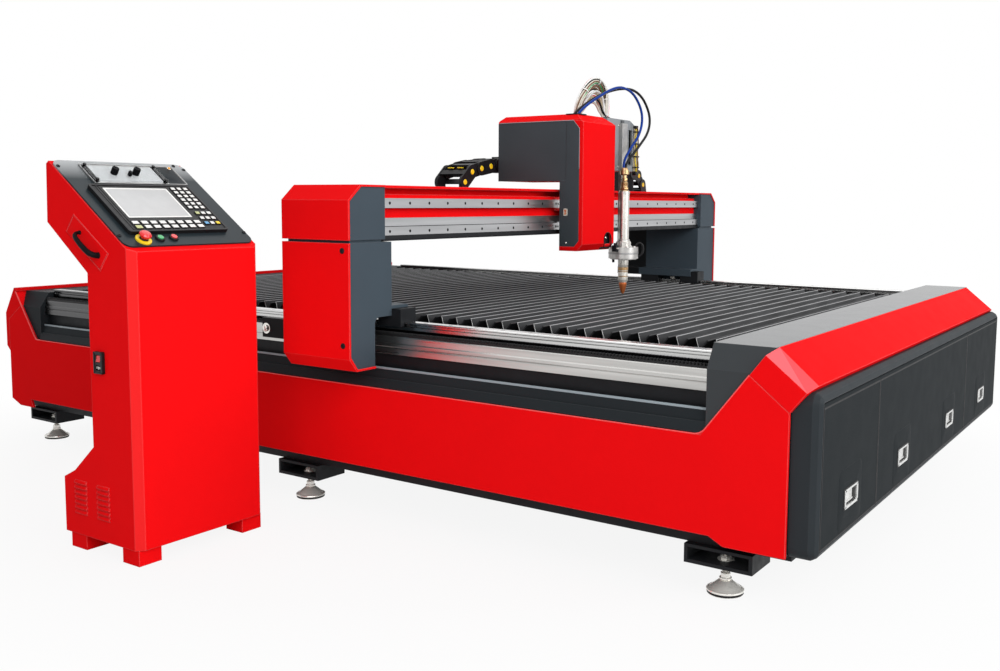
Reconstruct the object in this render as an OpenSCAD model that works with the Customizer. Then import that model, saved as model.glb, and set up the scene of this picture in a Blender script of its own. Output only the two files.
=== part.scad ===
// Gantry plasma cutting table with a slat bed, a torch on a three-axis gantry and a stand-alone control console.
// Millimetres, +Z up, +X towards the flap end, +Y away from the console.

/* [Table] */
// length of the side panels
table_length = 4190; // [3800:10:4600]
// width across the side panels
table_width = 2940; // [2700:10:3200]
// thickness of the folded side panels
panel_thick = 12; // [8:1:16]
// height of the lower edge of the side panels
panel_low = 210; // [200:1:225]
// height of the rail tops above the floor
rail_level = 781; // [770:1:810]
// height of the front deck above the rail tops
deck_rise = 31; // [25:1:40]
// depth of the rear deck below the rail tops
rear_drop = 13; // [8:1:18]
// height of the rear ridge above the rear deck
ridge_rise = 17; // [10:1:25]
// length of each end deck
deck_run = 270; // [250:1:275]
// thickness of the folded deck sheet
deck_sheet = 6; // [3:0.5:8]

/* [Frame and rails] */
// width of the side box beams
frame_width = 120; // [100:1:140]
// wall of the side box beams
frame_wall = 8; // [5:1:12]
// width of the linear rail
rail_width = 45; // [40:1:48]
// height of the linear rail
rail_height = 41; // [38:1:44]
// running clearance between a rail and its blocks
rail_clear = 0.5; // [0.3:0.1:1]
// module of the long racks
rack_module = 4; // [3.6:0.1:4.2]
// teeth on a long drive pinion
pinion_teeth = 12; // [12:1:13]
// radius of a drive shaft
shaft_radius = 8; // [6:0.5:9]
// running clearance of a shaft in its bore
shaft_clear = 0.08; // [0.03:0.01:0.1]

/* [Slat bed] */
// spacing of the slats
slat_pitch = 75; // [70:1:90]
// depth of the slat edges below the rail tops
slat_drop = 2; // [1:1:8]
// depth of a slat
slat_depth = 41; // [38:1:50]
// distance from a side panel to the slat ends
slat_inset = 357; // [330:1:400]

/* [Front flaps] */
// depth of the front door box
door_depth = 87; // [82:1:95]
// thickness of a flap
flap_thick = 20; // [16:1:22]
// gap around a flap
flap_gap = 3; // [2:0.5:4]
// radius of the hinge rod
rod_radius = 4; // [3:0.5:5]
// running clearance on the hinge rod
rod_clear = 0.1; // [0.05:0.01:0.1]
// width of the left flap
left_flap_width = 610; // [560:5:640]
// width of the right flap
right_flap_width = 760; // [700:5:800]

/* [Gantry] */
// distance of the gantry face from the front edge
gantry_back = 1598; // [1500:1:1800]
// length of a gantry leg
leg_length = 347; // [340:1:360]
// overhang of a leg outside the side panel
leg_over = 174; // [165:1:185]
// height of the leg top above the rail tops
leg_rise = 309; // [290:1:340]
// depth of the beam
beam_depth = 200; // [190:1:215]
// spacing of the bolt holes in the beam rails
hole_pitch = 120; // [90:5:150]
// pitch of a drag chain link
link_pitch = 78; // [76:1:80]

/* [Carriage and torch] */
// distance of the carriage from the near side panel
carriage_in = 1265; // [1100:5:1400]
// width of the carriage
carriage_width = 305; // [300:1:310]
// height of the carriage roof above the beam
carriage_rise = 355; // [340:1:370]
// radius of the torch tube
torch_radius = 26; // [22:0.5:27]
// radius of the torch holder ring
ring_radius = 74; // [66:1:74]
// gap between the torch tip and the slats
tip_gap = 9; // [7:1:16]
// radius of the torch hoses
hose_radius = 9; // [6:0.5:10]

/* [Console] */
// distance of the console face behind the front edge
console_back = 1933; // [1800:1:2100]
// width of the console
console_width = 553; // [540:1:580]
// height of the front edge of the console
console_front = 1073; // [1060:1:1090]
// slope of the control panel
panel_slope = 34.7; // [33:0.1:36]
// radius of the emergency stop head
stop_radius = 21; // [18:0.5:24]
// radius of a push button
button_radius = 11; // [9:0.5:12]
// running clearance of the buttons and knobs
button_clear = 0.1; // [0.05:0.01:0.1]

/* [Hidden] */
$fn = 48;
red = [0.85, 0.03, 0.04];
slate = [0.17, 0.19, 0.21];
steel = [0.72, 0.73, 0.75];
black = [0.05, 0.05, 0.05];
W = table_width;
rear_x = -table_length;
panel_top = rail_level - 253;
deck_top = rail_level + deck_rise;
rear_top = rail_level - rear_drop;
slat_top = rail_level - slat_drop;
edge_top = rail_level - 153;
frame_y = 62;
frame_in = frame_y + frame_width;
frame_top = rail_level - rail_height;
frame_low = panel_low - 50;
tube_top = frame_low + 100;
beam_low = rail_level - 241;
rail_x0 = rear_x + deck_run;
rail_x1 = -deck_run;
rail_y = frame_y + 26;
rail_top = rail_level;
bar_top = rail_level - 52;
bar_low = bar_top - 70;
skirt_low = bar_low - 47;
nose_a = [0, edge_top];
nose_b = [60, deck_top - 107];
nose_c = [-65, deck_top];
low_e = [-282, panel_top];
nose_d = low_e + (nose_c - low_e) * 0.71;
rear_c = [rear_x + 65, rear_top];
rear_e = [rear_x + 240, panel_top];
rear_d = rear_e + (rear_c - rear_e) * 0.7;
support_low = beam_low + 75;
foot_y = 104;
foot_x = [-228, rear_x / 2, rear_x + 228];
post_x = [-340, rear_x * 0.28, rear_x / 2, rear_x * 0.72, rear_x + 340];
lx1 = -gantry_back;
lx0 = lx1 - leg_length;
leg_top = rail_top + leg_rise;
beam_front = lx1 - 52;
beam_rear = lx0 + 5;
pinion_radius = rack_module * pinion_teeth / 2;
pinion_x = lx1 - leg_length / 2;
rack_root = bar_top + 7;
pinion_z = rack_root + 1.25 * rack_module + pinion_radius;
rack_pitch = PI * rack_module;
small_module = 3;
small_teeth = 14;
small_radius = small_module * small_teeth / 2;
beam_under = leg_top + 15;
cap_low = leg_top + 10;
beam_top = beam_under + beam_depth;
carriage_top = beam_top + carriage_rise;
upper_rail = beam_top - 87;
small_root = beam_under - 6;
small_z = small_root - 1.25 * small_module - small_radius;
cy0 = carriage_in;
cy1 = carriage_in + carriage_width;
cx1 = lx1 + 133;
cx0 = lx1 + 6;
cxr = lx0 - 5;
small_y = cy0 + 155;
block_low = beam_top + 40;
front_low = beam_under - 92;
box_low = carriage_top - 257;
tip_height = slat_top + tip_gap;
torch_low = tip_height + 152;
ring_low = torch_low + 22;
ring_top = torch_low + 83;
torch_top = torch_low + 465;
tx = lx1 + 148;
ty = cy1 + 75;
chain_x0 = lx0 - 173;
chain_x1 = lx0 - 13;
tray_floor = beam_under + 81;
flap_x0 = door_depth - flap_thick;
hinge_x = flap_x0 + flap_thick / 2;
hinge_r = flap_thick / 2;
hinge_z = rail_level - 132;
left_end = 48 + left_flap_width;
right_start = W - 48 - right_flap_width;
latch_z = panel_low + 105;
kx1 = -console_back;
ky1 = -295;
ky0 = ky1 - console_width;
panel_a = [kx1 - 28, console_front + 12];
panel_up = [-cos(panel_slope), sin(panel_slope)];
handle_out = 45;
seat_gap = 0.05;
x_mid = (door_depth + 2 + rear_x - 28) / 2;
y_mid = (ky0 - handle_out + W + leg_over) / 2;

function unit(v) = v / norm(v);
function spline_point(p, i, t) =
    let (a = p[max(i - 1, 0)], b = p[i], c = p[i + 1], d = p[min(i + 2, len(p) - 1)])
    0.5 * (2 * b + (c - a) * t + (2 * a - 5 * b + 4 * c - d) * t * t + (3 * b - a - 3 * c + d) * t * t * t);
function spline(p, n) = [for (i = [0 : len(p) - 2]) for (k = [0 : n - 1]) spline_point(p, i, k / n), p[len(p) - 1]];
function ring(c, t, r, n) =
    let (u = unit(cross(t, [1, 0.05, 0])), v = cross(t, u))
    [for (k = [0 : n - 1]) c + r * (cos(360 * k / n) * u + sin(360 * k / n) * v)];
function tooth_row(first, count, pitch, thick, root, tip) =
    [for (i = [0 : count - 1]) let (c = first + i * pitch)
        each [[c - thick * 0.72, root], [c - thick * 0.21, tip], [c + thick * 0.21, tip], [c + thick * 0.72, root]]];

module place() translate([-x_mid, -y_mid, 0]) children();
module both_sides() {
    children();
    translate([0, W, 0]) mirror([0, 1, 0]) children();
}
module bx(x0, x1, y0, y1, z0, z1) translate([x0, y0, z0]) cube([x1 - x0, y1 - y0, z1 - z0]);
module along_x(pts, x0, x1) translate([x0, 0, 0]) rotate([90, 0, 90]) linear_extrude(x1 - x0) polygon(pts);
module along_y(pts, y0, y1) translate([0, y1, 0]) rotate([90, 0, 0]) linear_extrude(y1 - y0) polygon(pts);
module rod_x(y, z, r, x0, x1) translate([x0, y, z]) rotate([0, 90, 0]) cylinder(r = r, h = x1 - x0);
module rod_y(x, z, r, y0, y1) translate([x, y1, z]) rotate([90, 0, 0]) cylinder(r = r, h = y1 - y0);
module rod_z(x, y, r, z0, z1) translate([x, y, z0]) cylinder(r = r, h = z1 - z0);
module tube(points, r, n) {
    m = len(points);
    rings = [for (i = [0 : m - 1])
        each ring(points[i], unit(points[min(i + 1, m - 1)] - points[max(i - 1, 0)]), r, n)];
    sides = [for (i = [0 : m - 2]) for (k = [0 : n - 1])
        [i * n + k, i * n + (k + 1) % n, (i + 1) * n + (k + 1) % n, (i + 1) * n + k]];
    start = [[for (k = [n - 1 : -1 : 0]) k]];
    finish = [[for (k = [0 : n - 1]) (m - 1) * n + k]];
    polyhedron(points = rings, faces = concat(sides, start, finish));
}
module gear(teeth, m, thick, h) {
    rp = m * teeth / 2;
    linear_extrude(h) polygon([for (i = [0 : teeth - 1]) let (c = 360 * i / teeth - 90)
        each [for (q = [[rp - 1.25 * m, -0.62], [rp, -0.5], [rp + m * 0.95, -0.22],
                        [rp + m * 0.95, 0.22], [rp, 0.5], [rp - 1.25 * m, 0.62]])
            let (a = c + q[1] * thick / rp * 180 / PI) q[0] * [cos(a), sin(a)]]]);
}

// table
module base_frame() color(slate) place() {
    both_sides() {
        difference() {
            bx(rail_x0, rail_x1, frame_y, frame_in, beam_low, frame_top);
            bx(rail_x0 - 1, rail_x1 + 1, frame_y + frame_wall, frame_in - frame_wall,
                beam_low + frame_wall, frame_top - frame_wall);
        }
        difference() {
            bx(rear_x + 6, 0, frame_y, frame_in, frame_low, tube_top);
            bx(rear_x + 5, 1, frame_y + frame_wall, frame_in - frame_wall, frame_low + frame_wall, tube_top - frame_wall);
        }
        for (x = post_x) bx(x - 60, x + 60, frame_y, frame_in, tube_top, beam_low);
    }
    for (x = post_x) {
        bx(x - 40, x + 40, frame_in - 1, W - frame_in + 1, frame_low + 10, tube_top - 10);
        bx(x - 40, x + 40, frame_in - 1, W - frame_in + 1, beam_low, support_low);
    }
}
module side_panels() color(red) place() both_sides() {
    along_y([[0, panel_low - 26], nose_a, nose_d, low_e, rear_e, rear_d, [rear_x, edge_top - 8],
        [rear_x, panel_low - 9], [rear_x + 78, panel_low - 40], [rear_x + 195, panel_low - 40],
        [rear_x + 174, panel_low], [-247, panel_low], [-199, panel_low - 26]],
        0, panel_thick);
    bx(rear_x + 260, -300, panel_thick - 1, frame_y, panel_low, panel_low + 6);
}
module side_skins() color(slate) place() both_sides() {
    y = panel_thick;
    t = panel_top;
    along_x([[y, t - 12], [y, t], [32, t + 76], [37, t + 76], [37, t + 38], [frame_y, t + 38], [frame_y, t + 32],
        [30, t + 32], [y + 6, t - 12]], rail_x0, rail_x1);
}
module guide_bars() color(steel) place() both_sides()
    along_x([[40, bar_low], [frame_y, bar_low], [frame_y, bar_top], [48, bar_top], [44, bar_top - 4],
        [44, bar_top - 26], [40, bar_top - 30], [40, bar_top - 40], [43, bar_top - 44], [40, bar_top - 48]],
        rail_x0, rail_x1);
module racks() color(steel) place() both_sides() {
    count = floor((pinion_x - rail_x0) / rack_pitch) + floor((rail_x1 - pinion_x) / rack_pitch) - 1;
    first = pinion_x - (floor((pinion_x - rail_x0) / rack_pitch) - 0.5) * rack_pitch;
    along_y(concat([[rail_x0, bar_top], [rail_x0, rack_root]],
        tooth_row(first, count, rack_pitch, 0.4 * rack_pitch, rack_root, rack_root + 2.2 * rack_module),
        [[rail_x1, rack_root], [rail_x1, bar_top]]), 47, 60);
}
module linear_rails() color(steel) place() both_sides() {
    a = rail_y;
    b = rail_y + rail_width;
    along_x([[a, frame_top], [b, frame_top], [b, rail_top - 20], [b - 7, rail_top - 17], [b - 7, rail_top - 10],
        [b, rail_top - 7], [b, rail_top - 3], [b - 3, rail_top], [a + 3, rail_top], [a, rail_top - 3],
        [a, rail_top - 7], [a + 7, rail_top - 10], [a + 7, rail_top - 17], [a, rail_top - 20]], rail_x0, rail_x1);
}
module front_nose() color(red) place() hull() {
    along_y([nose_a, nose_b, nose_c, nose_d], 80, W - 80);
    along_y([nose_a, nose_b - [9, 11], nose_c + (nose_d - nose_c) * 0.2, nose_d], 0, W);
}
module rear_nose() color(red) place() {
    t = edge_top;
    along_y([[rear_x, t - 177], [rear_x - 28, t - 150], [rear_x - 28, t + 22], rear_c + [-8, ridge_rise],
        rear_c + [10, ridge_rise], rear_c + [10, 0], rear_c, rear_d, [rear_x, t - 8]], 0, W);
    bx(rear_x, rear_x + 6, panel_thick, W - panel_thick, panel_low - 9, t - 18);
}
module deck(out, top, corner, xa, xb) {
    y = panel_thick;
    s = deck_sheet;
    difference() {
        intersection() {
            along_y(out, y, W - y);
            along_x([[y, panel_top], [y, top - corner], [62, top], [W - 62, top], [W - y, top - corner],
                [W - y, panel_top]], rear_x - 10, 10);
        }
        along_x([[y + s, panel_top - 9], [y + s, top - corner - 2], [64, top - s], [W - 64, top - s],
            [W - y - s, top - corner - 2], [W - y - s, panel_top - 9]], xa, xb);
    }
}
module front_deck() color(slate) place()
    deck([[rail_x1, panel_top], [rail_x1, deck_top], nose_c, nose_d, [nose_d[0], panel_top]], deck_top, 77,
        rail_x1 + deck_sheet, 20);
module rear_deck() color(slate) place()
    deck([[rail_x0, panel_top], [rail_x0, rear_top], rear_c, rear_d, [rear_d[0], panel_top]], rear_top, 75,
        rear_x - 20, rail_x0 - deck_sheet);
module door_frame() color(slate) place() {
    difference() {
        hull() for (k = [[20, 40, 25], [31, 24, 8], [45, 10, 0]]) {
            e = k[0] + k[1];
            for (y = [e, W - e]) for (z = [panel_low - 52 + e, deck_top - 102 - e])
                rod_x(y, z, k[1], 0, door_depth - k[2]);
        }
        bx(-1, door_depth + 1, 48, W - 48, panel_low - 4, hinge_z + hinge_r + flap_gap);
        along_y([nose_a, nose_b, [nose_a[0] - 5, nose_b[1]], [nose_a[0] - 5, edge_top]], 0, W);
    }
    rod_y(hinge_x, hinge_z, rod_radius, 40, W - 40);
}
module flap(y0, y1, at) color(slate) place() {
    difference() {
        union() {
            bx(flap_x0, door_depth, y0, y1, panel_low - 4 + flap_gap, hinge_z);
            rod_y(hinge_x, hinge_z, hinge_r, y0, y1);
            for (y = at) {
                bx(flap_x0 - 22, flap_x0 + 1, y - 66, y + 66, latch_z - 44, latch_z + 44);
                bx(door_depth - 1, door_depth + 2, y - 75, y + 75, latch_z - 53, latch_z + 53);
            }
        }
        rod_y(hinge_x, hinge_z, rod_radius + rod_clear, y0 - 1, y1 + 1);
        for (y = at) bx(flap_x0 - 14, door_depth + 3, y - 60, y + 60, latch_z - 38, latch_z + 38);
    }
    for (y = at) rod_y(door_depth - 8, latch_z + 28, 2.5, y - 61, y + 61);
}
latch_at = [48 + left_flap_width / 2 - 8, left_end + 340, right_start - 340, W - 48 - right_flap_width / 2 - 12];
module left_flap() flap(48 + flap_gap, left_end - flap_gap / 2, [latch_at[0]]);
module centre_flap() flap(left_end + flap_gap / 2, right_start - flap_gap / 2, [latch_at[1], latch_at[2]]);
module right_flap() flap(right_start + flap_gap / 2, W - 48 - flap_gap, [latch_at[3]]);
module latch(y) color(steel) place() difference() {
    union() {
        rod_y(door_depth - 8, latch_z + 28, 6, y - 56, y + 56);
        bx(door_depth - 11, door_depth - 6, y - 56, y + 56, latch_z - 32, latch_z + 28);
        bx(door_depth - 7, door_depth - 1, y - 56, y + 56, latch_z - 32, latch_z - 24);
    }
    rod_y(door_depth - 8, latch_z + 28, 2.5 + rod_clear, y - 57, y + 57);
}
module foot_brackets() color(slate) place() both_sides() for (x = foot_x) difference() {
    bx(x - 115, x + 115, 34, 190, frame_low - 62, frame_low);
    bx(x - 103, x + 103, 33, 191, frame_low - 50, frame_low - 10);
    rod_z(x, foot_y, 10.5, frame_low - 63, frame_low - 49);
}
module levelling_feet() color(steel) place() both_sides() for (x = foot_x) {
    translate([x, foot_y, 0]) rotate_extrude()
        polygon([[0, 0], [58, 0], [58, 10], [51, 19], [22, 42], [14, 46], [14, 54], [0, 54]]);
    rod_z(x, foot_y, 10, 50, frame_low - 14);
    translate([x, foot_y, 52]) cylinder(r = 17, h = 14, $fn = 6);
    translate([x, foot_y, frame_low - 76]) cylinder(r = 19, h = 14, $fn = 6);
    translate([x, foot_y, frame_low - 50]) cylinder(r = 19, h = 14, $fn = 6);
}
module slats() color([0.1, 0.1, 0.11]) place() {
    n = floor((table_length - 2 * deck_run - 130) / slat_pitch);
    d = slat_depth;
    for (i = [0 : n]) along_y([for (q = [[-2, 0], [2, 0], [14.5, 5 - d], [41, -5], [45, -8], [17, -d], [11, -d]])
        [rail_x1 - 118 - i * slat_pitch + q[0], slat_top + q[1]]],
        slat_inset, W - slat_inset);
}
module slat_supports() color(black) place() {
    for (k = [0 : 4]) let (y = slat_inset + 12 + k * (W - 2 * slat_inset - 24) / 4)
        bx(rail_x0 + 25, rail_x1 - 25, y - 10, y + 10, support_low, slat_top - slat_depth);
    bx(rear_x + 200, -200, frame_in, W - frame_in, tube_top - 10, tube_top - 4);
}

// gantry
module leg_cores() color([0.3, 0.33, 0.35]) place() both_sides() {
    o = -leg_over + 8;
    b = skirt_low + 8;
    t = rail_top + 24;
    difference() {
        union() {
            along_x([[o, b + 48], [o + 36, b], [-30, b], [-30, t], [66, t], [66, leg_top], [o, leg_top]],
                lx0 + 5, lx1 - 5);
            difference() {
                bx(lx0 + 5, lx1 - 5, -31, -5, t - 25, t + 1);
                rod_x(-5, t - 25, 25, lx0, lx1);
            }
        }
        bx(lx0 + 11, lx1 - 11, o + 38, -36, b + 6, leg_top - 6);
        bx(lx0 + 11, lx1 - 11, o + 6, -36, b + 54, leg_top - 6);
        bx(lx0 + 11, lx1 - 11, o + 6, 60, t + 6, leg_top - 6);
        rod_y(pinion_x, pinion_z, shaft_radius + shaft_clear, -40, -20);
    }
    bx(lx0 + 15, lx1 - 15, o + 10, 20, leg_top - 1, cap_low + 1);
    bx(lx0 - 245, lx0 + 6, -60, -31, rail_top - 91, rail_top - 11);
    rod_y(lx0 - 219, rail_top - 54, 13, -68, -59);
    bx(lx0 - 155, lx1 - 5, 54, 66, rail_top + 51, leg_top);
    bx(lx0 - 155, lx1 - 5, 60, 161, rail_top + 51, rail_top + 63);
    bx(lx0 - 155, lx1 - 5, 155, 161, rail_top + 21, rail_top + 52);
    difference() {
        along_x([[o, cap_low], [o, beam_top - 61], [o + 62, beam_top - 8], [30, beam_top - 8], [30, cap_low]],
            lx0 + 5, lx1 - 5);
        bx(lx0 + 13, lx1 - 13, o + 12, 20, cap_low + 10, beam_top - 75);
    }
}
module leg_covers() color(red) place() both_sides() {
    o = -leg_over;
    b = skirt_low;
    along_x([[o, leg_top], [o, b + 48], [o + 38, b], [-30, b], [-30, b + 8], [o + 44, b + 8], [o + 8, b + 56],
        [o + 8, leg_top]], lx0, lx1);
    along_x([[o, cap_low], [o, beam_top - 57], [o + 66, beam_top], [30, beam_top], [30, beam_top - 8],
        [o + 70, beam_top - 8], [o + 8, beam_top - 61], [o + 8, cap_low]], lx0, lx1);
}
module beam() color(red) place() difference() {
    along_y([[beam_rear, beam_under], [beam_front, beam_under], [beam_front, beam_top - 34], [beam_front - 40, beam_top - 34],
        [beam_front - 40, beam_top - 11], [lx1 - 20, beam_top - 11], [lx1 - 20, beam_top], [beam_rear, beam_top]],
        30, W - 30);
    bx(beam_rear + 10, beam_front - 50, 20, W - 20, beam_under + 10, beam_top - 21);
}
module beam_rails() color(steel) place() {
    difference() {
        union() {
            bx(beam_front, beam_front + 28, 30, W - 30, upper_rail, upper_rail + 38);
            bx(beam_front, beam_front + 18, 30, W - 30, beam_under + 40, beam_under + 75);
            bx(beam_front, beam_front + 28, 30, W - 30, beam_under + 8, beam_under + 41);
        }
        for (i = [0 : floor((W - 160) / hole_pitch)]) {
            rod_x(80 + i * hole_pitch, upper_rail + 19, 5, beam_front + 20, beam_front + 30);
            rod_x(80 + i * hole_pitch, beam_under + 23, 5, beam_front + 20, beam_front + 30);
        }
    }
    pitch = PI * small_module;
    low = floor((small_y - 80) / pitch);
    high = floor((W - 80 - small_y) / pitch);
    along_x(concat([[70, beam_under], [70, small_root]],
        tooth_row(small_y - (low - 0.5) * pitch, low + high - 1, pitch, 0.4 * pitch, small_root,
            small_root - 2.2 * small_module),
        [[W - 70, small_root], [W - 70, beam_under]]), beam_front - 22, beam_front);
}
module link_plate(length, r, x, thick) translate([x, 0, 0]) {
    translate([0, 0, -r]) cube([thick, length, 2 * r]);
    for (y = [0, length]) translate([0, y, 0]) rotate([0, 90, 0]) cylinder(r = r, h = thick);
}
module chain(p) for (i = [0 : len(p) - 2]) let (d = p[i + 1] - p[i], outer = i % 2 == 0, wide = chain_x1 - chain_x0)
    translate([chain_x0, p[i][0], p[i][1]]) rotate([atan2(d[1], d[0]), 0, 0]) {
        r = outer ? 34 : 32;
        link_plate(norm(d), r, outer ? 0 : 7, 8);
        link_plate(norm(d), r, outer ? wide - 8 : wide - 15, 8);
        for (z = [2 - r, r - 10]) translate([outer ? 7 : 14, norm(d) / 2 - 15, z])
            cube([wide - (outer ? 14 : 28), 30, 8]);
    }
module chain_tray() color(black) place() {
    bx(chain_x0 - 12, beam_rear, 100, W - 40, tray_floor - 6, tray_floor);
    bx(chain_x0 - 12, chain_x0 - 6, 100, W - 40, tray_floor - 1, tray_floor + 64);
    bx(beam_rear - 6, beam_rear, 100, W - 40, tray_floor - 1, tray_floor + 64);
    z = tray_floor;
    bx(chain_x0, chain_x1, W - 246, W - 238, z - 1, z + 269);
    chain([[W - 242, z + 238], [W - 166, z + 222], [W - 110, z + 168], [W - 92, z + 92], [W - 92, z + 38]]);
}
module bearing_blocks() color(slate) place() both_sides()
    for (x = [lx0 + 8, lx1 - 75]) difference() {
        bx(x, x + 115, 66, 155, rail_top - 17, rail_top + 51);
        bx(x - 1, x + 116, rail_y - rail_clear, rail_y + rail_width + rail_clear, rail_top - 18,
            rail_top + rail_clear);
    }
module drive_motors() color(black) place() both_sides() difference() {
    bx(pinion_x - 43, pinion_x + 43, -150, -36, pinion_z - 43, pinion_z + 43);
    rod_y(pinion_x, pinion_z, shaft_radius + shaft_clear, -70, -35);
}
module pinion() {
    translate([pinion_x, 60, pinion_z]) rotate([90, 0, 0]) gear(pinion_teeth, rack_module, 0.4 * rack_pitch, 14);
    rod_y(pinion_x, pinion_z, shaft_radius, -66, 47);
}
module near_pinion() color(steel) place() pinion();
module far_pinion() color(steel) place() translate([0, W, 0]) mirror([0, 1, 0]) pinion();

// carriage
function hull_line(s) = [[cxr + s, block_low + s], [cxr + s, carriage_top - 20 - s * 0.4],
    [cxr + 20 + s * 0.4, carriage_top - s], [cx1 - 56 - s * 0.3, carriage_top - s],
    [cx1 - s, carriage_top - 40 - s * 0.5], [cx1 - s, front_low + 32 + s * 0.4],
    [cx1 - 30 - s * 0.4, front_low + s], [cx0 + s, front_low + s], [cx0 + s, block_low + s]];
module carriage_shell() color(red) place() difference() {
    intersection() {
        along_y(hull_line(0), cy0, cy1);
        low = front_low - 40;
        along_x([[cy0, low], [cy0, carriage_top - 28], [cy0 + 35, carriage_top], [cy1 - 35, carriage_top],
            [cy1, carriage_top - 28], [cy1, low]], cxr - 1, cx1 + 1);
    }
    intersection() {
        along_y(hull_line(6), cy0 - 5, cy1 + 5);
        along_x([[cy0 - 5, front_low - 40], [cy0 - 5, carriage_top - 34], [cy0 + 2, carriage_top - 34],
            [cy0 + 37, carriage_top - 6], [cy1 - 37, carriage_top - 6], [cy1 - 2, carriage_top - 34],
            [cy1 + 5, carriage_top - 34], [cy1 + 5, front_low - 40]], cxr - 1, cx1 + 1);
    }
    rod_x(small_y, small_z, 6 + shaft_clear, cx0 - 1, cx0 + 8);
    bx(tx - 129, tx - 68, ty - 343, ty - 277, carriage_top - 10, carriage_top + 1);
    rod_x(cy1 - 62, front_low + 50, 34, cx1 - 10, cx1 + 1);
    bx(cx1 - 10, cx1 + 1, cy1 - 96, cy1 - 28, front_low + 14, front_low + 50);
}
module carriage_sides() color(slate) place()
    for (y = [cy0 + 4, cy1 - 10]) intersection() {
        along_y(hull_line(6), y, y + (y > cy0 + 50 ? 10 : 8));
        bx(cxr, cx1, y - 1, y + 11, front_low, carriage_top - 34);
    }
module carriage_plate() color(steel) place() {
    bx(lx1 - 6, cx0, cy0 + 18, cy1 - 18, beam_under + 3, beam_top - 15);
    for (y = [cy0 + 25, cy0 + 190]) {
        difference() {
            bx(beam_front + 3, lx1 - 5, y, y + 90, upper_rail - 13, beam_top - 36);
            bx(beam_front, beam_front + 28 + rail_clear, y - 1, y + 91, upper_rail - rail_clear,
                upper_rail + 38 + rail_clear);
        }
        bx(beam_front + 28 + rail_clear, lx1 - 5, y, y + 90, beam_under + 7, beam_under + 45);
    }
}
module carriage_motor() color(black) place() difference() {
    bx(cx0 + 6, cx0 + 94, small_y - 25, small_y + 25, small_z - 25, small_z + 25);
    rod_x(small_y, small_z, 6 + shaft_clear, cx0 + 5, cx0 + 40);
}
module carriage_pinion() color(steel) place() {
    translate([beam_front - 21, small_y, small_z]) rotate([90, 0, 90]) rotate(180)
        gear(small_teeth, small_module, 0.4 * PI * small_module, 20);
    rod_x(small_y, small_z, 6, beam_front - 2, cx0 + 36);
}
module lifter_box() color([0.42, 0.45, 0.47]) place() {
    difference() {
        along_x([[cy1, box_low], [cy1, carriage_top + 1], [cy1 + 235, carriage_top + 1],
            [cy1 + 316, carriage_top - 34], [cy1 + 316, box_low]], lx1 - 2, lx1 + 88);
        bx(lx1 + 72, lx1 + 89, cy1 + 183, cy1 + 262, box_low + 32, carriage_top - 47);
    }
    rod_z(lx1 + 81, cy1 + 222, 7, box_low + 24, carriage_top - 39);
}
module lifter_rail() color(steel) place() bx(lx1 + 88, lx1 + 96, cy1 + 135, cy1 + 160, box_low + 5, carriage_top - 4);
module drag_chain() color(black) place() translate([0, cy0 - 1265, 0]) {
    z = tray_floor + 34.5;
    p = link_pitch;
    chain([[1075 + 4 * p, z], [1075 + 3 * p, z], [1075 + 2 * p, z], [1075 + p, z], [1075, z], [1007, z + 38],
        [1003, z + 116], [1060, z + 166], [1136, z + 184], [1213, z + 197], [1290, z + 206], [1368, z + 211],
        [1446, z + 213]]);
    bx(chain_x0, cxr, 1440, 1480, z + 172, z + 254);
}
module wire_loop() color([0.8, 0.78, 0.72]) place() translate([0, cy0 - 1265, carriage_top - 1660]) {
    tube(spline([[-1600, 1436, 1660], [-1600, 1436, 1678], [-1600, 1436, 1696], [-1599, 1453, 1738],
        [-1597, 1492, 1786], [-1594, 1540, 1828], [-1590, 1590, 1846], [-1586, 1636, 1832], [-1582, 1664, 1795],
        [-1580, 1673, 1745], [-1580, 1673, 1700], [-1580, 1673, 1680], [-1580, 1673, 1661]], 5), 13, 10);
}

// torch
module torch_slide() color(steel) place() difference() {
    union() {
        bx(lx1 + 89, lx1 + 108, ty + 45, ty + 100, ring_top, carriage_top - 20);
        bx(lx1 + 89, lx1 + 112, ty + 30, ty + 100, ring_top, ring_top + 22);
    }
    bx(lx1 + 88, lx1 + 96 + rail_clear, cy1 + 135 - rail_clear, cy1 + 160 + rail_clear, ring_top - 1,
        carriage_top - 19);
}
module torch_holder() color(steel) place() difference() {
    union() {
        rod_z(tx, ty, ring_radius, ring_low + 4, ring_top);
        rod_z(tx, ty, ring_radius - 8, ring_low, ring_low + 5);
    }
    rod_z(tx, ty, torch_radius + 0.3, ring_low - 1, ring_top + 1);
}
module torch_body() color(steel) place() {
    r = torch_radius;
    translate([tx, ty, torch_low]) rotate_extrude() polygon([[0, 0], [r, 0], [r, 83], [r + 9, 83], [r + 9, 110],
        [r + 2, 118], [r, 118], [r, 360], [r - 5, 366], [17, 366], [17, 405], [12, 410], [12, 440], [23, 444],
        [23, 465], [0, 465]]);
}
module torch_tip() color([0.72, 0.43, 0.25]) place()
    translate([tx, ty, tip_height]) rotate_extrude() polygon([[0, 0], [5, 0], [9, 8], [20, 48], [20, 56], [24, 60],
        [24, torch_low - tip_height], [0, torch_low - tip_height]]);
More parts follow.
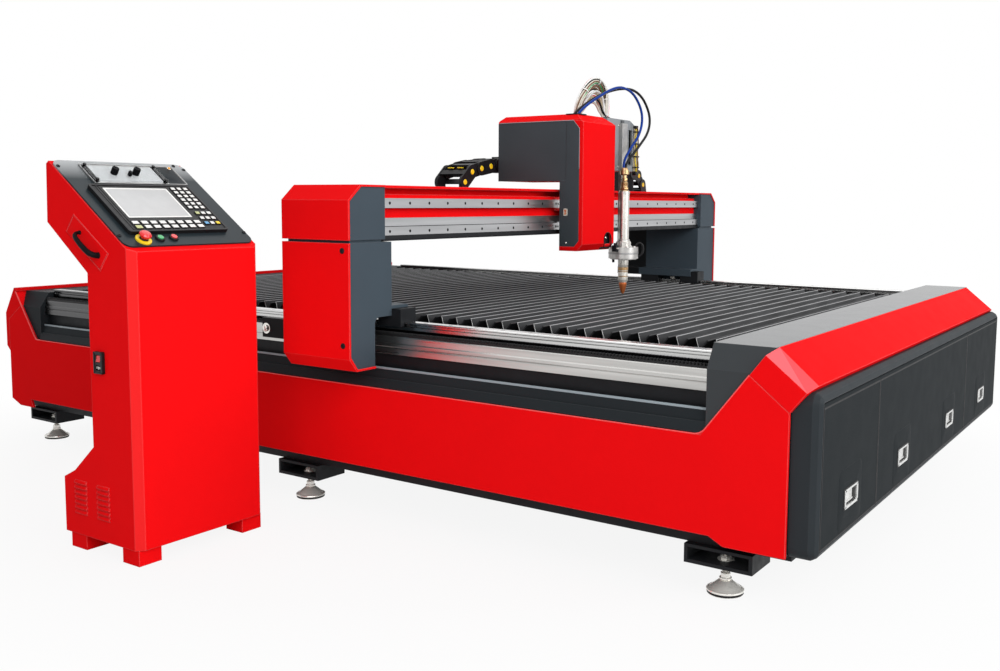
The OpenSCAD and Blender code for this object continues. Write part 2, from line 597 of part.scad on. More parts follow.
module blue_hose() color([0.05, 0.2, 0.7]) place() translate([tx + 1450, ty - 1645, carriage_top - 1660]) {
    e = 1660 + torch_top - carriage_top;
    tube(spline([[-1540, 1298, 1570], [-1540, 1298, 1588], [-1540, 1298, 1606], [-1537, 1312, 1640],
        [-1532, 1345, 1674], [-1524, 1400, 1711], [-1510, 1485, 1755], [-1495, 1575, 1795], [-1485, 1660, 1813],
        [-1475, 1745, 1798], [-1468, 1805, 1757], [-1460, 1835, 1700], [-1455, 1828, 1640], [-1450, 1782, 1578],
        [-1450, 1712, e + 115], [-1450, 1657, e + 66], [-1450, 1638, e + 36], [-1450, 1634, e + 18],
        [-1450, 1634, e + 9], [-1450, 1634, e]], 5), hose_radius, 10);
}
module black_hose() color(black) place() translate([tx + 1450, ty - 1645, carriage_top - 1660]) {
    e = 1660 + torch_top - carriage_top;
    tube(spline([[-1564, 1298, 1570], [-1564, 1298, 1588], [-1564, 1298, 1606], [-1561, 1312, 1640],
        [-1556, 1345, 1672], [-1546, 1430, 1722], [-1525, 1560, 1778], [-1505, 1685, 1809], [-1490, 1795, 1812],
        [-1480, 1880, 1778], [-1470, 1930, 1714], [-1465, 1936, 1655], [-1460, 1898, 1597], [-1455, 1815, e + 133],
        [-1450, 1735, e + 84], [-1450, 1690, e + 56], [-1450, 1664, e + 31], [-1450, 1656, e + 14],
        [-1450, 1656, e + 7], [-1450, 1656, e]], 5), hose_radius, 10);
}

// console
module console_cabinet() color(red) place() {
    b = kx1 - 425;
    t = panel_a + 515 * panel_up;
    difference() {
        along_y([[b, 56], [kx1, 56], [kx1, console_front], panel_a, t, [t[0] - 14, t[1] - 10], [t[0] - 20, 1164],
            [kx1 - 243, 994], [kx1 - 243, 386], [kx1 - 359, 287], [b, 255]], ky0, ky1);
        translate([0, 0, 62]) linear_extrude(console_front - 152) polygon([[kx1 - 237, ky0 + 6], [kx1 - 34, ky0 + 6],
            [kx1 - 6, ky0 + 34], [kx1 - 6, ky1 - 34], [kx1 - 34, ky1 - 6], [kx1 - 237, ky1 - 6]]);
        bx(b + 6, kx1 - 200, ky0 + 6, ky1 - 6, 62, 248);
        for (s = [0, 1]) translate([0, s * (ky0 + ky1), 0]) mirror([0, s, 0]) translate([0, 0, 50])
            linear_extrude(console_front - 30) polygon([[kx1 - 26, ky0 - 1], [kx1 + 1, ky0 - 1], [kx1 + 1, ky0 + 26]]);
        for (x = [kx1 - 356, kx1 - 225]) for (i = [0 : 6])
            bx(x, x + 66, ky0 - 1, ky0 + 7, 132 + i * 18, 140 + i * 18);
    }
    for (x = [b + 20, kx1 - 105]) for (y = [ky0 + 8, ky1 - 98]) bx(x, x + 90, y, y + 90, 0, 57);
}
module rounded(u0, u1, y0, y1, r, h) {
    difference() {
        union() {
            translate([y0 + r, u0, 0]) cube([y1 - y0 - 2 * r, u1 - u0, h]);
            translate([y0, u0 + r, 0]) cube([y1 - y0, u1 - u0 - 2 * r, h]);
            for (y = [y0 + r, y1 - r]) for (u = [u0 + r, u1 - r]) translate([y, u, 0]) cylinder(r = r, h = h);
        }
        children();
    }
}
module panel_frame() translate([panel_a[0], 0, panel_a[1]])
    multmatrix([[0, panel_up[0], panel_up[1], 0], [1, 0, 0, 0], [0, panel_up[1], -panel_up[0], 0], [0, 0, 0, 1]])
    children();
stop_at = [ky0 + 88, 33];
start_at = [ky0 + 156, 36];
off_at = [ky0 + 213, 38];
knob_at = [[ky0 + 201, 424], [ky0 + 291, 424], [ky0 + 260, 414]];
module control_panel() color(slate) place() panel_frame() {
    translate([0, 0, seat_gap]) rounded(0, 512, ky0 + 3, ky1 - 3, 32, 6 - seat_gap) {
        for (q = [stop_at, start_at, off_at]) translate([q[0], q[1], -1])
            cylinder(r = button_radius + button_clear, h = 8);
    }
    for (q = [start_at, off_at]) translate([q[0], q[1], 5]) difference() {
        cylinder(r = button_radius + 5, h = 7);
        translate([0, 0, -1]) cylinder(r = button_radius + button_clear, h = 9);
    }
    translate([stop_at[0], stop_at[1], 5]) difference() {
        cylinder(r = 27, h = 5);
        translate([0, 0, -1]) cylinder(r = button_radius + button_clear, h = 8);
    }
}
module controller() color(black) place() panel_frame() {
    y = ky0 + 50;
    translate([0, 0, 6]) rounded(64, 346, y, y + 418, 10, 12)
        translate([y + 46, 146, 9]) cube([266, 182, 4]);
    for (i = [0 : 2]) for (k = [0 : 5]) translate([y + 326 + i * 27.5, 194 + k * 23.6, 17]) cube([20, 18, 4]);
    for (i = [0 : 7]) for (k = [0 : 1]) translate([y + 36 + i * 36.7, 78 + k * 25, 17]) cube([28, 20, 4]);
    for (i = [0 : 2]) for (k = [0 : 2]) translate([y + 335 + i * 25, 96 + k * 31, 17]) cube([20, 18, 4]);
}
module height_unit() color([0.75, 0.78, 0.8]) place() panel_frame() {
    difference() {
        translate([ky0 + 94, 364, 6]) cube([392, 120, 5]);
        for (q = knob_at) translate([q[0], q[1], 5]) cylinder(r = 4 + button_clear, h = 12);
    }
    for (y = [ky0 + 107, ky0 + 393]) for (u = [377, 469]) translate([y, u, 10]) cylinder(r = 5, h = 12);
    difference() {
        translate([ky0 + 96, 366, 17]) cube([308, 116, 4]);
        for (q = knob_at) translate([q[0], q[1], 16]) cylinder(r = 14, h = 6);
    }
}
module stop_head() color(red) place() panel_frame() translate([stop_at[0], stop_at[1], 0]) {
    translate([0, 0, 4.5]) cylinder(r = button_radius, h = 19);
    translate([0, 0, 22]) rotate_extrude()
        polygon([[0, 0], [stop_radius - 3, 0], [stop_radius, 4], [stop_radius, 9], [stop_radius - 5, 14],
            [stop_radius - 12, 16], [0, 17]]);
}
module start_button() color([0.05, 0.5, 0.15]) place() panel_frame() translate([start_at[0], start_at[1], 4])
    cylinder(r = button_radius, h = 12);
module stop_button() color(red) place() panel_frame() translate([off_at[0], off_at[1], 4])
    cylinder(r = button_radius, h = 12);
module knob(q, r, h) color(black) place() panel_frame() translate([q[0], q[1], 6.5]) {
    cylinder(r = 4, h = 20);
    translate([0, 0, 6]) cylinder(r = r, h = h);
    translate([-1.5, 0, 6 + h - 0.5]) cube([3, r - 1, 2]);
}
module left_knob() knob(knob_at[0], 12, 26);
module right_knob() knob(knob_at[1], 12, 26);
module middle_knob() knob(knob_at[2], 7, 18);
module console_handle() color(black) place() {
    p = [kx1 - 285, 1140];
    q = [kx1 - 163, 1050];
    along_y([[kx1 - 356, 1134], [kx1 - 308, 1195], [kx1 - 116, 1063], [kx1 - 164, 1002]], ky0 - 3, ky0);
    for (e = [p, q]) rod_y(e[0], e[1], 9, ky0 - handle_out + 11, ky0 - 2);
    translate([p[0], ky0 - handle_out + 11, p[1]]) rotate([0, 90 + atan2(p[1] - q[1], q[0] - p[0]), 0])
        translate([0, 0, -14]) cylinder(r = 11, h = norm(q - p) + 28);
}
module power_inlet() color(black) place() {
    difference() {
        bx(kx1 - 205, kx1 - 165, ky0 - 10, ky0, 656, 722);
        bx(kx1 - 197, kx1 - 173, ky0 - 11, ky0 - 1, 690, 716);
        bx(kx1 - 198, kx1 - 172, ky0 - 11, ky0 - 3, 662, 680);
    }
    rod_x(ky0 - 6, 703, 1.5, kx1 - 198, kx1 - 172);
}
module power_rocker() color(red) place() difference() {
    along_x([[ky0 - 11, 692], [ky0 - 8.5, 703], [ky0 - 7.5, 714], [ky0 - 5.5, 714], [ky0 - 3.5, 703], [ky0 - 5.5, 692]],
        kx1 - 196, kx1 - 174);
    rod_x(ky0 - 6, 703, 1.5 + shaft_clear, kx1 - 199, kx1 - 171);
}

base_frame();
side_panels();
side_skins();
guide_bars();
racks();
linear_rails();
front_nose();
rear_nose();
front_deck();
rear_deck();
door_frame();
left_flap();
centre_flap();
right_flap();
latch(latch_at[0]);  // latch_1
latch(latch_at[1]);  // latch_2
latch(latch_at[2]);  // latch_3
latch(latch_at[3]);  // latch_4
foot_brackets();
levelling_feet();
slats();
slat_supports();
leg_cores();
leg_covers();
beam();
beam_rails();
chain_tray();
bearing_blocks();
drive_motors();
near_pinion();
far_pinion();
carriage_shell();
carriage_sides();
carriage_plate();
carriage_motor();
carriage_pinion();
lifter_box();
lifter_rail();
drag_chain();
wire_loop();
torch_slide();
torch_holder();
torch_body();
torch_tip();
blue_hose();
black_hose();
console_cabinet();
control_panel();
controller();
height_unit();
stop_head();
start_button();
stop_button();
left_knob();
right_knob();
middle_knob();
console_handle();
power_inlet();
power_rocker();
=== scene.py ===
import math

import bmesh
import bpy
from mathutils import Matrix, Vector


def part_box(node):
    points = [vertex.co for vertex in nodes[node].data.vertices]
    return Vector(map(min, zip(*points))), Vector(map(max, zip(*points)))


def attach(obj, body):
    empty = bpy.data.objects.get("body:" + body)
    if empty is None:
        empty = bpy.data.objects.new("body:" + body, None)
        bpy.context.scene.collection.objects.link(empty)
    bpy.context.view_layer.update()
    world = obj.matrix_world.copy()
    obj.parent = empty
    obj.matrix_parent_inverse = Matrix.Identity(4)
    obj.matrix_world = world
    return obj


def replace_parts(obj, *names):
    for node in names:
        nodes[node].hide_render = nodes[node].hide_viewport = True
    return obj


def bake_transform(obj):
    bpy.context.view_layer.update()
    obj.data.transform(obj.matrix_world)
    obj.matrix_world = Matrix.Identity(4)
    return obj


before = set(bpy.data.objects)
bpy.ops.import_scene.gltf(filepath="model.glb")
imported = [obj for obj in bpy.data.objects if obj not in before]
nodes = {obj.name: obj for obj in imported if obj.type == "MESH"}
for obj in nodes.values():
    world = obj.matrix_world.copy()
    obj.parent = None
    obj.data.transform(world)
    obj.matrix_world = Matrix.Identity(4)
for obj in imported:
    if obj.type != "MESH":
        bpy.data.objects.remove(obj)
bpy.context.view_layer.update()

# sizes below are millimetres from the near front corner of the table, as in the part's source
SHIFT = Vector((2064.5, -1110.5, 0))
WIDE = 2940
SLOPE = math.radians(34.7)
CONSOLE_X = -1933
CONSOLE_Y0 = -848
CONSOLE_Y1 = -295
PANEL_LOW = 1085
TORCH_X = -1450
TORCH_Y = 1645
TORCH = (TORCH_X, TORCH_Y, 0)
CORNER_STEPS = 4
BEVEL_STEPS = 2
SHARP = math.radians(35)


def at(x, y, z):
    return (Vector((x, y, z)) + SHIFT) / 1000


def box_of(name):
    return [Vector(corner) * 1000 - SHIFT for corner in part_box(name)]


def panel_matrix():
    up = Vector((-math.cos(SLOPE), 0, math.sin(SLOPE)))
    out = Vector((math.sin(SLOPE), 0, math.cos(SLOPE)))
    across = Vector((0, 1, 0))
    m = Matrix((across, up, out)).transposed().to_4x4()
    m.translation = Vector((CONSOLE_X - 28, CONSOLE_Y0, PANEL_LOW))
    return m


PANEL = panel_matrix()


# outlines are pairs in the plane across an axis, and a height along it
def spot(p, axis, h):
    if axis == "x":
        return (h, p[0], p[1])
    if axis == "y":
        return (p[0], h, p[1])
    return (p[0], p[1], h)


def round_box(x0, x1, y0, y1, r):
    line = []
    for cx, cy, turn in ((x1 - r, y1 - r, 0), (x0 + r, y1 - r, 1), (x0 + r, y0 + r, 2), (x1 - r, y0 + r, 3)):
        for k in range(CORNER_STEPS + 1):
            a = math.pi / 2 * (turn + k / CORNER_STEPS)
            line.append((cx + r * math.cos(a), cy + r * math.sin(a)))
    return line


def angles(count):
    return [2 * math.pi * k / count for k in range(count)]


def circle(x, y, r, sides=24):
    return [(x + r * math.cos(a), y + r * math.sin(a)) for a in angles(sides)]


# share of the way, point and two cross directions, at each point of a path
def along(path):
    last = len(path) - 1
    normal = (path[1] - path[0]).orthogonal()
    for i, p in enumerate(path):
        t = (path[min(i + 1, last)] - path[max(i - 1, 0)]).normalized()
        normal = (normal - t * normal.dot(t)).normalized()
        yield i / last, p, normal, t.cross(normal)


# one piece, built in millimetres and handed over in metres
class Part:
    def __init__(self):
        self.bm = bmesh.new()

    def add(self, points, faces, m=None, bevel=0.0):
        made = [self.bm.verts.new(m @ Vector(p) if m else Vector(p)) for p in points]
        for f in faces:
            self.bm.faces.new([made[i] for i in f])
        if bevel > 0:
            edges = dict.fromkeys(e for v in made for e in v.link_edges)
            bmesh.ops.bevel(self.bm, geom=list(edges), offset=bevel, segments=BEVEL_STEPS, profile=0.6,
                            affect="EDGES")
        return self

    def box(self, x0, x1, y0, y1, z0, z1, bevel=0.0, m=None):
        return self.prism([(x0, y0), (x1, y0), (x1, y1), (x0, y1)], "z", z0, z1, bevel, m)

    def prism(self, outline, axis, low, high, bevel=0.0, m=None):
        n = len(outline)
        points = [spot(p, axis, low) for p in outline] + [spot(p, axis, high) for p in outline]
        faces = [tuple(range(n)), tuple(range(2 * n - 1, n - 1, -1))]
        faces += [(i, (i + 1) % n, n + (i + 1) % n, n + i) for i in range(n)]
        return self.add(points, faces, m, bevel)

    def frame(self, outer, inner, axis, low, high, bevel=0.0, m=None):
        n = len(outer)
        points = [spot(p, axis, h) for h in (low, high) for p in outer + inner]
        faces = []
        for i in range(n):
            j = (i + 1) % n
            faces += [(i, j, n + j, n + i), (2 * n + j, 2 * n + i, 3 * n + i, 3 * n + j),
                      (j, i, 2 * n + i, 2 * n + j), (n + i, n + j, 3 * n + j, 3 * n + i)]
        return self.add(points, faces, m, bevel)

    def plate(self, outer, holes, axis, low, high, m=None):
        edges = []
        for loop in [outer] + holes:
            corners = [Vector(spot(p, axis, low)) for p in loop]
            made = [self.bm.verts.new(m @ c if m else c) for c in corners]
            edges += [self.bm.edges.new((made[i - 1], made[i])) for i in range(len(made))]
        filled = bmesh.ops.triangle_fill(self.bm, use_beauty=True, use_dissolve=False, edges=edges)
        faces = [g for g in filled["geom"] if isinstance(g, bmesh.types.BMFace)]
        raised = bmesh.ops.extrude_face_region(self.bm, geom=faces)
        top = [g for g in raised["geom"] if isinstance(g, bmesh.types.BMVert)]
        step = Vector(spot((0, 0), axis, high - low))
        bmesh.ops.translate(self.bm, verts=top, vec=m.to_3x3() @ step if m else step)
        return self

    def lathe(self, profile, origin, axis=(0, 0, 1), sides=24, m=None):
        turn = Vector((0, 0, 1)).rotation_difference(Vector(axis)).to_matrix().to_4x4()
        place = Matrix.Translation(Vector(origin)) @ turn
        if m:
            place = m @ place
        points = []
        rings = []
        for r, h in profile:
            if r <= 0:
                rings.append([len(points)])
                points.append((0, 0, h))
                continue
            rings.append(list(range(len(points), len(points) + sides)))
            points += [(x, y, h) for x, y in circle(0, 0, r, sides)]
        faces = []
        for a, b in zip(rings, rings[1:]):
            for k in range(sides):
                n = (k + 1) % sides
                if len(a) == 1 and len(b) > 1:
                    faces.append((a[0], b[k], b[n]))
                elif len(b) == 1 and len(a) > 1:
                    faces.append((a[k], b[0], a[n]))
                elif len(a) > 1:
                    faces.append((a[k], b[k], b[n], a[n]))
        return self.add(points, faces, place)

    def sweep(self, path, radius, sides=8, m=None):
        path = [Vector(p) for p in path]
        last = len(path) - 1
        points = []
        for share, p, normal, side in along(path):
            r = radius(share) if callable(radius) else radius
            points += [p + r * (math.cos(a) * normal + math.sin(a) * side) for a in angles(sides)]
        faces = []
        for i in range(last):
            low, high = i * sides, (i + 1) * sides
            faces += [(low + k, low + (k + 1) % sides, high + (k + 1) % sides,
                       high + k) for k in range(sides)]
        faces += [tuple(range(sides - 1, -1, -1)), tuple(last * sides + k for k in range(sides))]
        return self.add(points, faces, m)

    def screw(self, origin, axis, r, h, m=None):
        profile = [(0, h * 0.45), (r * 0.45, h * 0.45), (r * 0.5, h), (r * 0.86, h), (r, h * 0.75), (r, 0)]
        return self.lathe(profile, origin, axis, 16, m)

    def done(self, name, body, material, slot=None):
        bmesh.ops.recalc_face_normals(self.bm, faces=self.bm.faces[:])
        for f in self.bm.faces:
            f.smooth = True
        for e in self.bm.edges:
            e.smooth = len(e.link_faces) == 2 and e.calc_face_angle(0) < SHARP
        for v in self.bm.verts:
            v.co = (v.co + SHIFT) / 1000
        mesh = bpy.data.meshes.new(name)
        self.bm.to_mesh(mesh)
        self.bm.free()
        piece = bpy.data.objects.new(name, mesh)
        bpy.context.scene.collection.objects.link(piece)
        mesh.materials.append(material)
        if body:
            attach(piece, body)
        slot = slot or SLOTS[material.name]
        return piece


def spline(points, steps):
    p = [Vector(q) for q in points]
    line = []
    for i in range(len(p) - 1):
        a, b, c, d = p[max(i - 1, 0)], p[i], p[i + 1], p[min(i + 2, len(p) - 1)]
        for k in range(steps):
            t = k / steps
            line.append(0.5 * (2 * b + (c - a) * t + (2 * a - 5 * b + 4 * c - d) * t ** 2
                               + (3 * b - a - 3 * c + d) * t ** 3))
    return line + [p[-1]]


def length(path):
    return sum((b - a).length for a, b in zip(path, path[1:])) / 1000


# materials, each with its slot in the library
SLOTS = {}


class Look:
    def __init__(self, name):
        self.material = bpy.data.materials.new(name)
        self.material.use_nodes = True
        self.tree = self.material.node_tree
        self.shader = self.tree.nodes["Principled BSDF"]
        self.place = self.node("ShaderNodeTexCoord").outputs["Object"]

    def node(self, kind, **values):
        made = self.tree.nodes.new(kind)
        for key, value in values.items():
            if key in made.inputs:
                made.inputs[key].default_value = value
            else:
                setattr(made, key, value)
        return made

    def link(self, a, b):
        self.tree.links.new(a, b)

    def noise(self, scale, detail=3, stretch=None):
        source = self.place
        if stretch:
            mapping = self.node("ShaderNodeMapping")
            mapping.inputs["Scale"].default_value = stretch
            self.link(source, mapping.inputs["Vector"])
            source = mapping.outputs["Vector"]
        made = self.node("ShaderNodeTexNoise", Scale=scale, Detail=detail)
        self.link(source, made.inputs["Vector"])
        return made.outputs["Fac"]

    def ramp(self, fac, low, high, start=0.3, end=0.7):
        made = self.node("ShaderNodeValToRGB")
        for element, place, colour in zip(made.color_ramp.elements, (start, end), (low, high)):
            element.position = place
            element.color = (*colour, 1)
        self.link(fac, made.inputs["Fac"])
        return made.outputs["Color"]

    def spread(self, fac, low, high, start=0.3, end=0.7):
        made = self.node("ShaderNodeMapRange")
        for key, value in (("From Min", start), ("From Max", end), ("To Min", low), ("To Max", high)):
            made.inputs[key].default_value = value
        self.link(fac, made.inputs["Value"])
        return made.outputs["Result"]

    def mix(self, fac, a, b):
        made = self.node("ShaderNodeMix", data_type="RGBA")
        self.link(fac, made.inputs["Factor"])
        colours = [s for s in made.inputs if s.type == "RGBA"]
        for socket, value in zip(colours, (a, b)):
            if isinstance(value, tuple):
                socket.default_value = (*value, 1)
            else:
                self.link(value, socket)
        return [s for s in made.outputs if s.type == "RGBA"][0]

    def reach(self, axis, low, high):
        parts = self.node("ShaderNodeSeparateXYZ")
        self.link(self.place, parts.inputs[0])
        return self.spread(parts.outputs[axis], 0, 1, low, high)


def shade(colour, f):
    return tuple(min(1, c * f) for c in colour)


# a surface with slight variation, edges lightened as wear and as a painted highlight, and fine relief
def surface(name, colour, rough=0.4, metal=0.0, vary=0.08, scale=4.0, stretch=None, bump=0.04, grain=500.0,
            coat=0.0, edge=0.0, bevel=0.0015, specular=0.5, tone=None, uneven=0.15, slot=None):
    look = Look(name)
    SLOTS[look.material.name] = slot
    s = look.shader
    fac = look.noise(scale, 4, stretch)
    base = look.ramp(fac, shade(colour, 1 - vary), shade(colour, 1 + vary))
    if tone:
        base = tone(look, base)
    round_edge = look.node("ShaderNodeBevel", samples=4)
    round_edge.inputs["Radius"].default_value = bevel
    # edges found by the bevel normal get a paler colour, partly wear and partly painted highlight
    if edge > 0:
        plain = look.node("ShaderNodeNewGeometry")
        dot = look.node("ShaderNodeVectorMath", operation="DOT_PRODUCT")
        look.link(round_edge.outputs["Normal"], dot.inputs[0])
        look.link(plain.outputs["Normal"], dot.inputs[1])
        wear_and_highlight = look.spread(dot.outputs["Value"], edge, 0, 0.80, 0.97)
        base = look.mix(wear_and_highlight, base, tuple(0.35 + 0.65 * c for c in colour))
    look.link(base, s.inputs["Base Color"])
    fine = look.noise(scale * 3, 5, stretch)
    look.link(look.spread(fine, rough * (1 - uneven), rough * (1 + uneven)), s.inputs["Roughness"])
    s.inputs["Metallic"].default_value = metal
    s.inputs["Specular IOR Level"].default_value = specular
    if coat:
        s.inputs["Coat Weight"].default_value = coat
        s.inputs["Coat Roughness"].default_value = 0.08
    relief = look.node("ShaderNodeBump", Strength=bump, Distance=0.002)
    look.link(look.noise(grain, 2, stretch), relief.inputs["Height"])
    look.link(round_edge.outputs["Normal"], relief.inputs["Normal"])
    look.link(relief.outputs["Normal"], s.inputs["Normal"])
    return look.material


RED = (0.86, 0.0052, 0.0072)
SLATE = (0.028, 0.033, 0.037)
LENGTHWISE = (0.04, 1, 1)
CROSSWISE = (1, 0.04, 1)


def paint(name, colour, slot="slate_paint", **values):
    usual = {"rough": 0.46, "vary": 0.04, "edge": 0.20, "bevel": 0.004, "bump": 0.005, "specular": 0.04}
    return surface(name, colour, slot=slot, **{**usual, "uneven": 0.05, **values})


def metallic(name, colour, rough, metal=1.0, **values):
    usual = {"vary": 0.1, "scale": 60, "bump": 0.02, "bevel": 0.001}
    return surface(name, colour, rough, metal, **{**usual, **values})


def dull(name, colour, rough, **values):
    usual = {"vary": 0.2, "scale": 60, "bump": 0.05, "bevel": 0.0008}
    return surface(name, colour, rough, **{**usual, **values})


# a base colour that changes along one axis of the frame
def fade(axis, low, high, colour, above=True):
    def tone(look, base):
        pair = (base, colour) if above else (colour, base)
        return look.mix(look.reach(axis, low, high), *pair)
    return tone


# painted highlight: the 45 degree corner chamfers and the slanted corner facets are painted paler than the
# flat faces, as if they caught the light
def painted_corner_highlight(look, base):
    plain = look.node("ShaderNodeNewGeometry")
    sides = look.node("ShaderNodeVectorMath", operation="ABSOLUTE")
    look.link(plain.outputs["True Normal"], sides.inputs[0])
    for way, start, colour in (((0.707, 0.707, 0), 0.96, (0.88, 0.021, 0.022)),
                               ((0.55, 0.40, 0.73), 0.94, (0.92, 0.16, 0.18))):
        dot = look.node("ShaderNodeVectorMath", operation="DOT_PRODUCT")
        look.link(sides.outputs["Vector"], dot.inputs[0])
        dot.inputs[1].default_value = way
        base = look.mix(look.spread(dot.outputs["Value"], 0, 1, start, 1.0), base, colour)
    return base


# painted sheen: the top of the control panel is paler, standing in for a reflection
painted_sheen_top = fade("Z", 1.315, 1.385, (0.44, 0.455, 0.465))
# painted shade: the rear end of the leg cores is near black
painted_shade_leg_rear = fade("X", 0.112, 0.116, (0.010, 0.011, 0.012), above=False)
# painted shade and dark reflection: guide bars and rails darker towards the rear
painted_shade_rear = fade("X", -1.45, -1.15, (0.10, 0.10, 0.102), above=False)
# painted shade: the foot of the linear rails is near black
painted_shade_rail_foot = fade("Z", 0.749, 0.752, (0.012, 0.012, 0.013), above=False)
worn_top = fade("Z", 0.7768, 0.7786, (0.42, 0.42, 0.43))
brass_neck = fade("Z", 1.298, 1.304, (0.44, 0.31, 0.16))


# painted shade on the linear rails, at their foot and towards the rear
def painted_shade_rails(look, base):
    return painted_shade_rail_foot(look, painted_shade_rear(look, base))


# paints
# red edges lighten strongly as wear and painted highlight, and the chamfers and corner facets carry a painted
# highlight
red_paint = paint("red_paint", RED, "red_paint", vary=0.015, edge=0.34, bevel=0.005, bump=0.004,
                  specular=0.008, tone=painted_corner_highlight)
slate_paint = paint("slate_paint", SLATE)
skin_paint = paint("skin_paint", (0.019, 0.023, 0.026))
flap_paint = paint("flap_paint", (0.017, 0.020, 0.022), rough=0.52, vary=0.01, edge=0.14, bump=0.003,
                   specular=0.014)
deck_paint = paint("deck_paint", SLATE, rough=0.19, edge=0.16, bump=0.003, specular=0.30, uneven=0.04)
panel_paint = paint("panel_paint", (0.018, 0.026, 0.031), rough=0.30, vary=0.05, edge=0.12, bevel=0.002,
                    bump=0.004, specular=0.10, uneven=0.06, tone=painted_sheen_top)
side_paint = paint("side_paint", (0.056, 0.068, 0.077), rough=0.42, vary=0.05, edge=0.16, bevel=0.003,
                   specular=0.05, uneven=0.06)
core_paint = paint("core_paint", (0.055, 0.074, 0.092), rough=0.42, vary=0.05, edge=0.16, bevel=0.003,
                   specular=0.06, uneven=0.06, tone=painted_shade_leg_rear)
lifter_grey = surface("lifter_grey", (0.27, 0.285, 0.30), 0.42, vary=0.06, edge=0.2, bevel=0.002,
                      specular=0.12)

# metals
ground_steel = metallic("ground_steel", (0.50, 0.495, 0.48), 0.30, vary=0.22, scale=30, stretch=LENGTHWISE,
                        bump=0.01, edge=0.2, tone=painted_shade_rear)
rail_steel = metallic("rail_steel", (0.60, 0.60, 0.595), 0.17, vary=0.2, scale=30, stretch=LENGTHWISE,
                      bump=0.006, tone=painted_shade_rails)
rack_steel = metallic("rack_steel", (0.014, 0.014, 0.015), 0.5, 0.6, vary=0.3, scale=30, stretch=LENGTHWISE,
                      bump=0.03, bevel=0.0006)
beam_steel = metallic("beam_steel", (0.46, 0.465, 0.475), 0.32, vary=0.16, scale=30, stretch=CROSSWISE,
                      edge=0.2)
slat_steel = metallic("slat_steel", (0.025, 0.026, 0.028), 0.5, 0.2, vary=0.45, scale=9, stretch=(1, 0.25, 1),
                      bump=0.12, grain=180, specular=0.25, tone=worn_top)
satin_dark = metallic("satin_dark", (0.10, 0.105, 0.11), 0.45, 0.4, bevel=0.0015)
satin_metal = metallic("satin_metal", (0.34, 0.34, 0.34), 0.38, vary=0.12, bump=0.03, bevel=0.0008,
                       slot="bright_metal")
pale_metal = metallic("pale_metal", (0.62, 0.62, 0.61), 0.4, 0.4, slot="bright_metal")
bright_metal = metallic("bright_metal", (0.80, 0.80, 0.79), 0.25, bump=0.03, edge=0.2, slot="bright_metal")
nickel = metallic("nickel", (0.76, 0.735, 0.69), 0.22, vary=0.08, scale=40, slot="rail_steel")
foot_metal = metallic("foot_metal", (0.88, 0.86, 0.81), 0.20, 0.5, vary=0.05, scale=20, slot="rail_steel")
burr_metal = metallic("burr_metal", (0.62, 0.62, 0.62), 0.4, 0.3, vary=0.35, scale=40, bump=0.05,
                      bevel=0.0015, slot="slat_steel")
holder_metal = metallic("holder_metal", (0.50, 0.49, 0.475), 0.36, 0.9, vary=0.14, scale=50, bump=0.03,
                        slot="bright_metal")
shield_metal = metallic("shield_metal", (0.84, 0.81, 0.74), 0.30, 0.6, vary=0.16, scale=70, bump=0.03,
                        slot="bright_metal")
torch_metal = metallic("torch_metal", (0.60, 0.585, 0.545), 0.30, 0.9, scale=50, tone=brass_neck)
bronze = metallic("bronze", (0.46, 0.29, 0.14), 0.34, 0.85, vary=0.2, bevel=0.0015)
copper = metallic("copper", (0.74, 0.21, 0.065), 0.34, 0.7, vary=0.18, scale=50, bump=0.04, bevel=0.0015)

# plastics and rubber
black_plastic = dull("black_plastic", (0.009, 0.009, 0.010), 0.42, scale=30, bevel=0.001, specular=0.22,
                     slot="black_plastic")
black_metal = dull("black_metal", (0.011, 0.012, 0.014), 0.48, scale=12, bump=0.04, bevel=0.001,
                   specular=0.15, slot="motor_black")
knob_black = dull("knob_black", (0.006, 0.006, 0.007), 0.5, specular=0.06, slot="black_plastic")
black_rubber = dull("black_rubber", (0.007, 0.007, 0.008), 0.5, bump=0.06, specular=0.2, slot="black_rubber")
blue_rubber = dull("blue_rubber", (0.003, 0.034, 0.24), 0.34, specular=0.12, slot="blue_rubber")
# light red standing for the highlight along the edges of the red panels, a painted highlight
painted_highlight_red = surface("painted_highlight_red", (0.92, 0.10, 0.10), 0.35, vary=0.05, scale=12, bump=0.004, bevel=0.0008,
                   specular=0.2, slot="red_paint")
# pale blue grey standing for the highlight on folded slate edges, a painted highlight
painted_highlight_trim = surface("painted_highlight_trim", (0.26, 0.31, 0.34), 0.4, vary=0.06, scale=8, stretch=(0.1, 1, 1),
                    bevel=0.001, slot="slate_paint")
yellow = surface("yellow_plastic", (0.85, 0.62, 0.01), 0.4, scale=60, bevel=0.0006)
red_plastic = surface("red_plastic", (0.72, 0.012, 0.015), 0.25, vary=0.06, scale=60, coat=0.3, bevel=0.001)
green_plastic = surface("green_plastic", (0.015, 0.36, 0.10), 0.28, vary=0.06, scale=60, coat=0.3,
                        bevel=0.001)
amber = surface("amber", (0.86, 0.38, 0.02), 0.25, scale=90, coat=0.3, bevel=0.0008)
pale_grey = surface("pale_grey", (0.42, 0.43, 0.44), 0.45, vary=0.05, scale=60, bevel=0.001)
screen_grey = surface("screen_grey", (0.50, 0.505, 0.51), 0.35, vary=0.03, scale=20, bump=0.01)
white_key = surface("white_key", (0.80, 0.80, 0.78), 0.45, vary=0.05, scale=90, bevel=0.001)
blue_key = surface("blue_key", (0.12, 0.36, 0.62), 0.45, vary=0.06, scale=90, bevel=0.0008)
olive_key = surface("olive_key", (0.52, 0.55, 0.26), 0.45, vary=0.06, scale=90, bevel=0.0008)
ivory = surface("ivory", (0.66, 0.62, 0.54), 0.42, scale=80, bevel=0.0006)
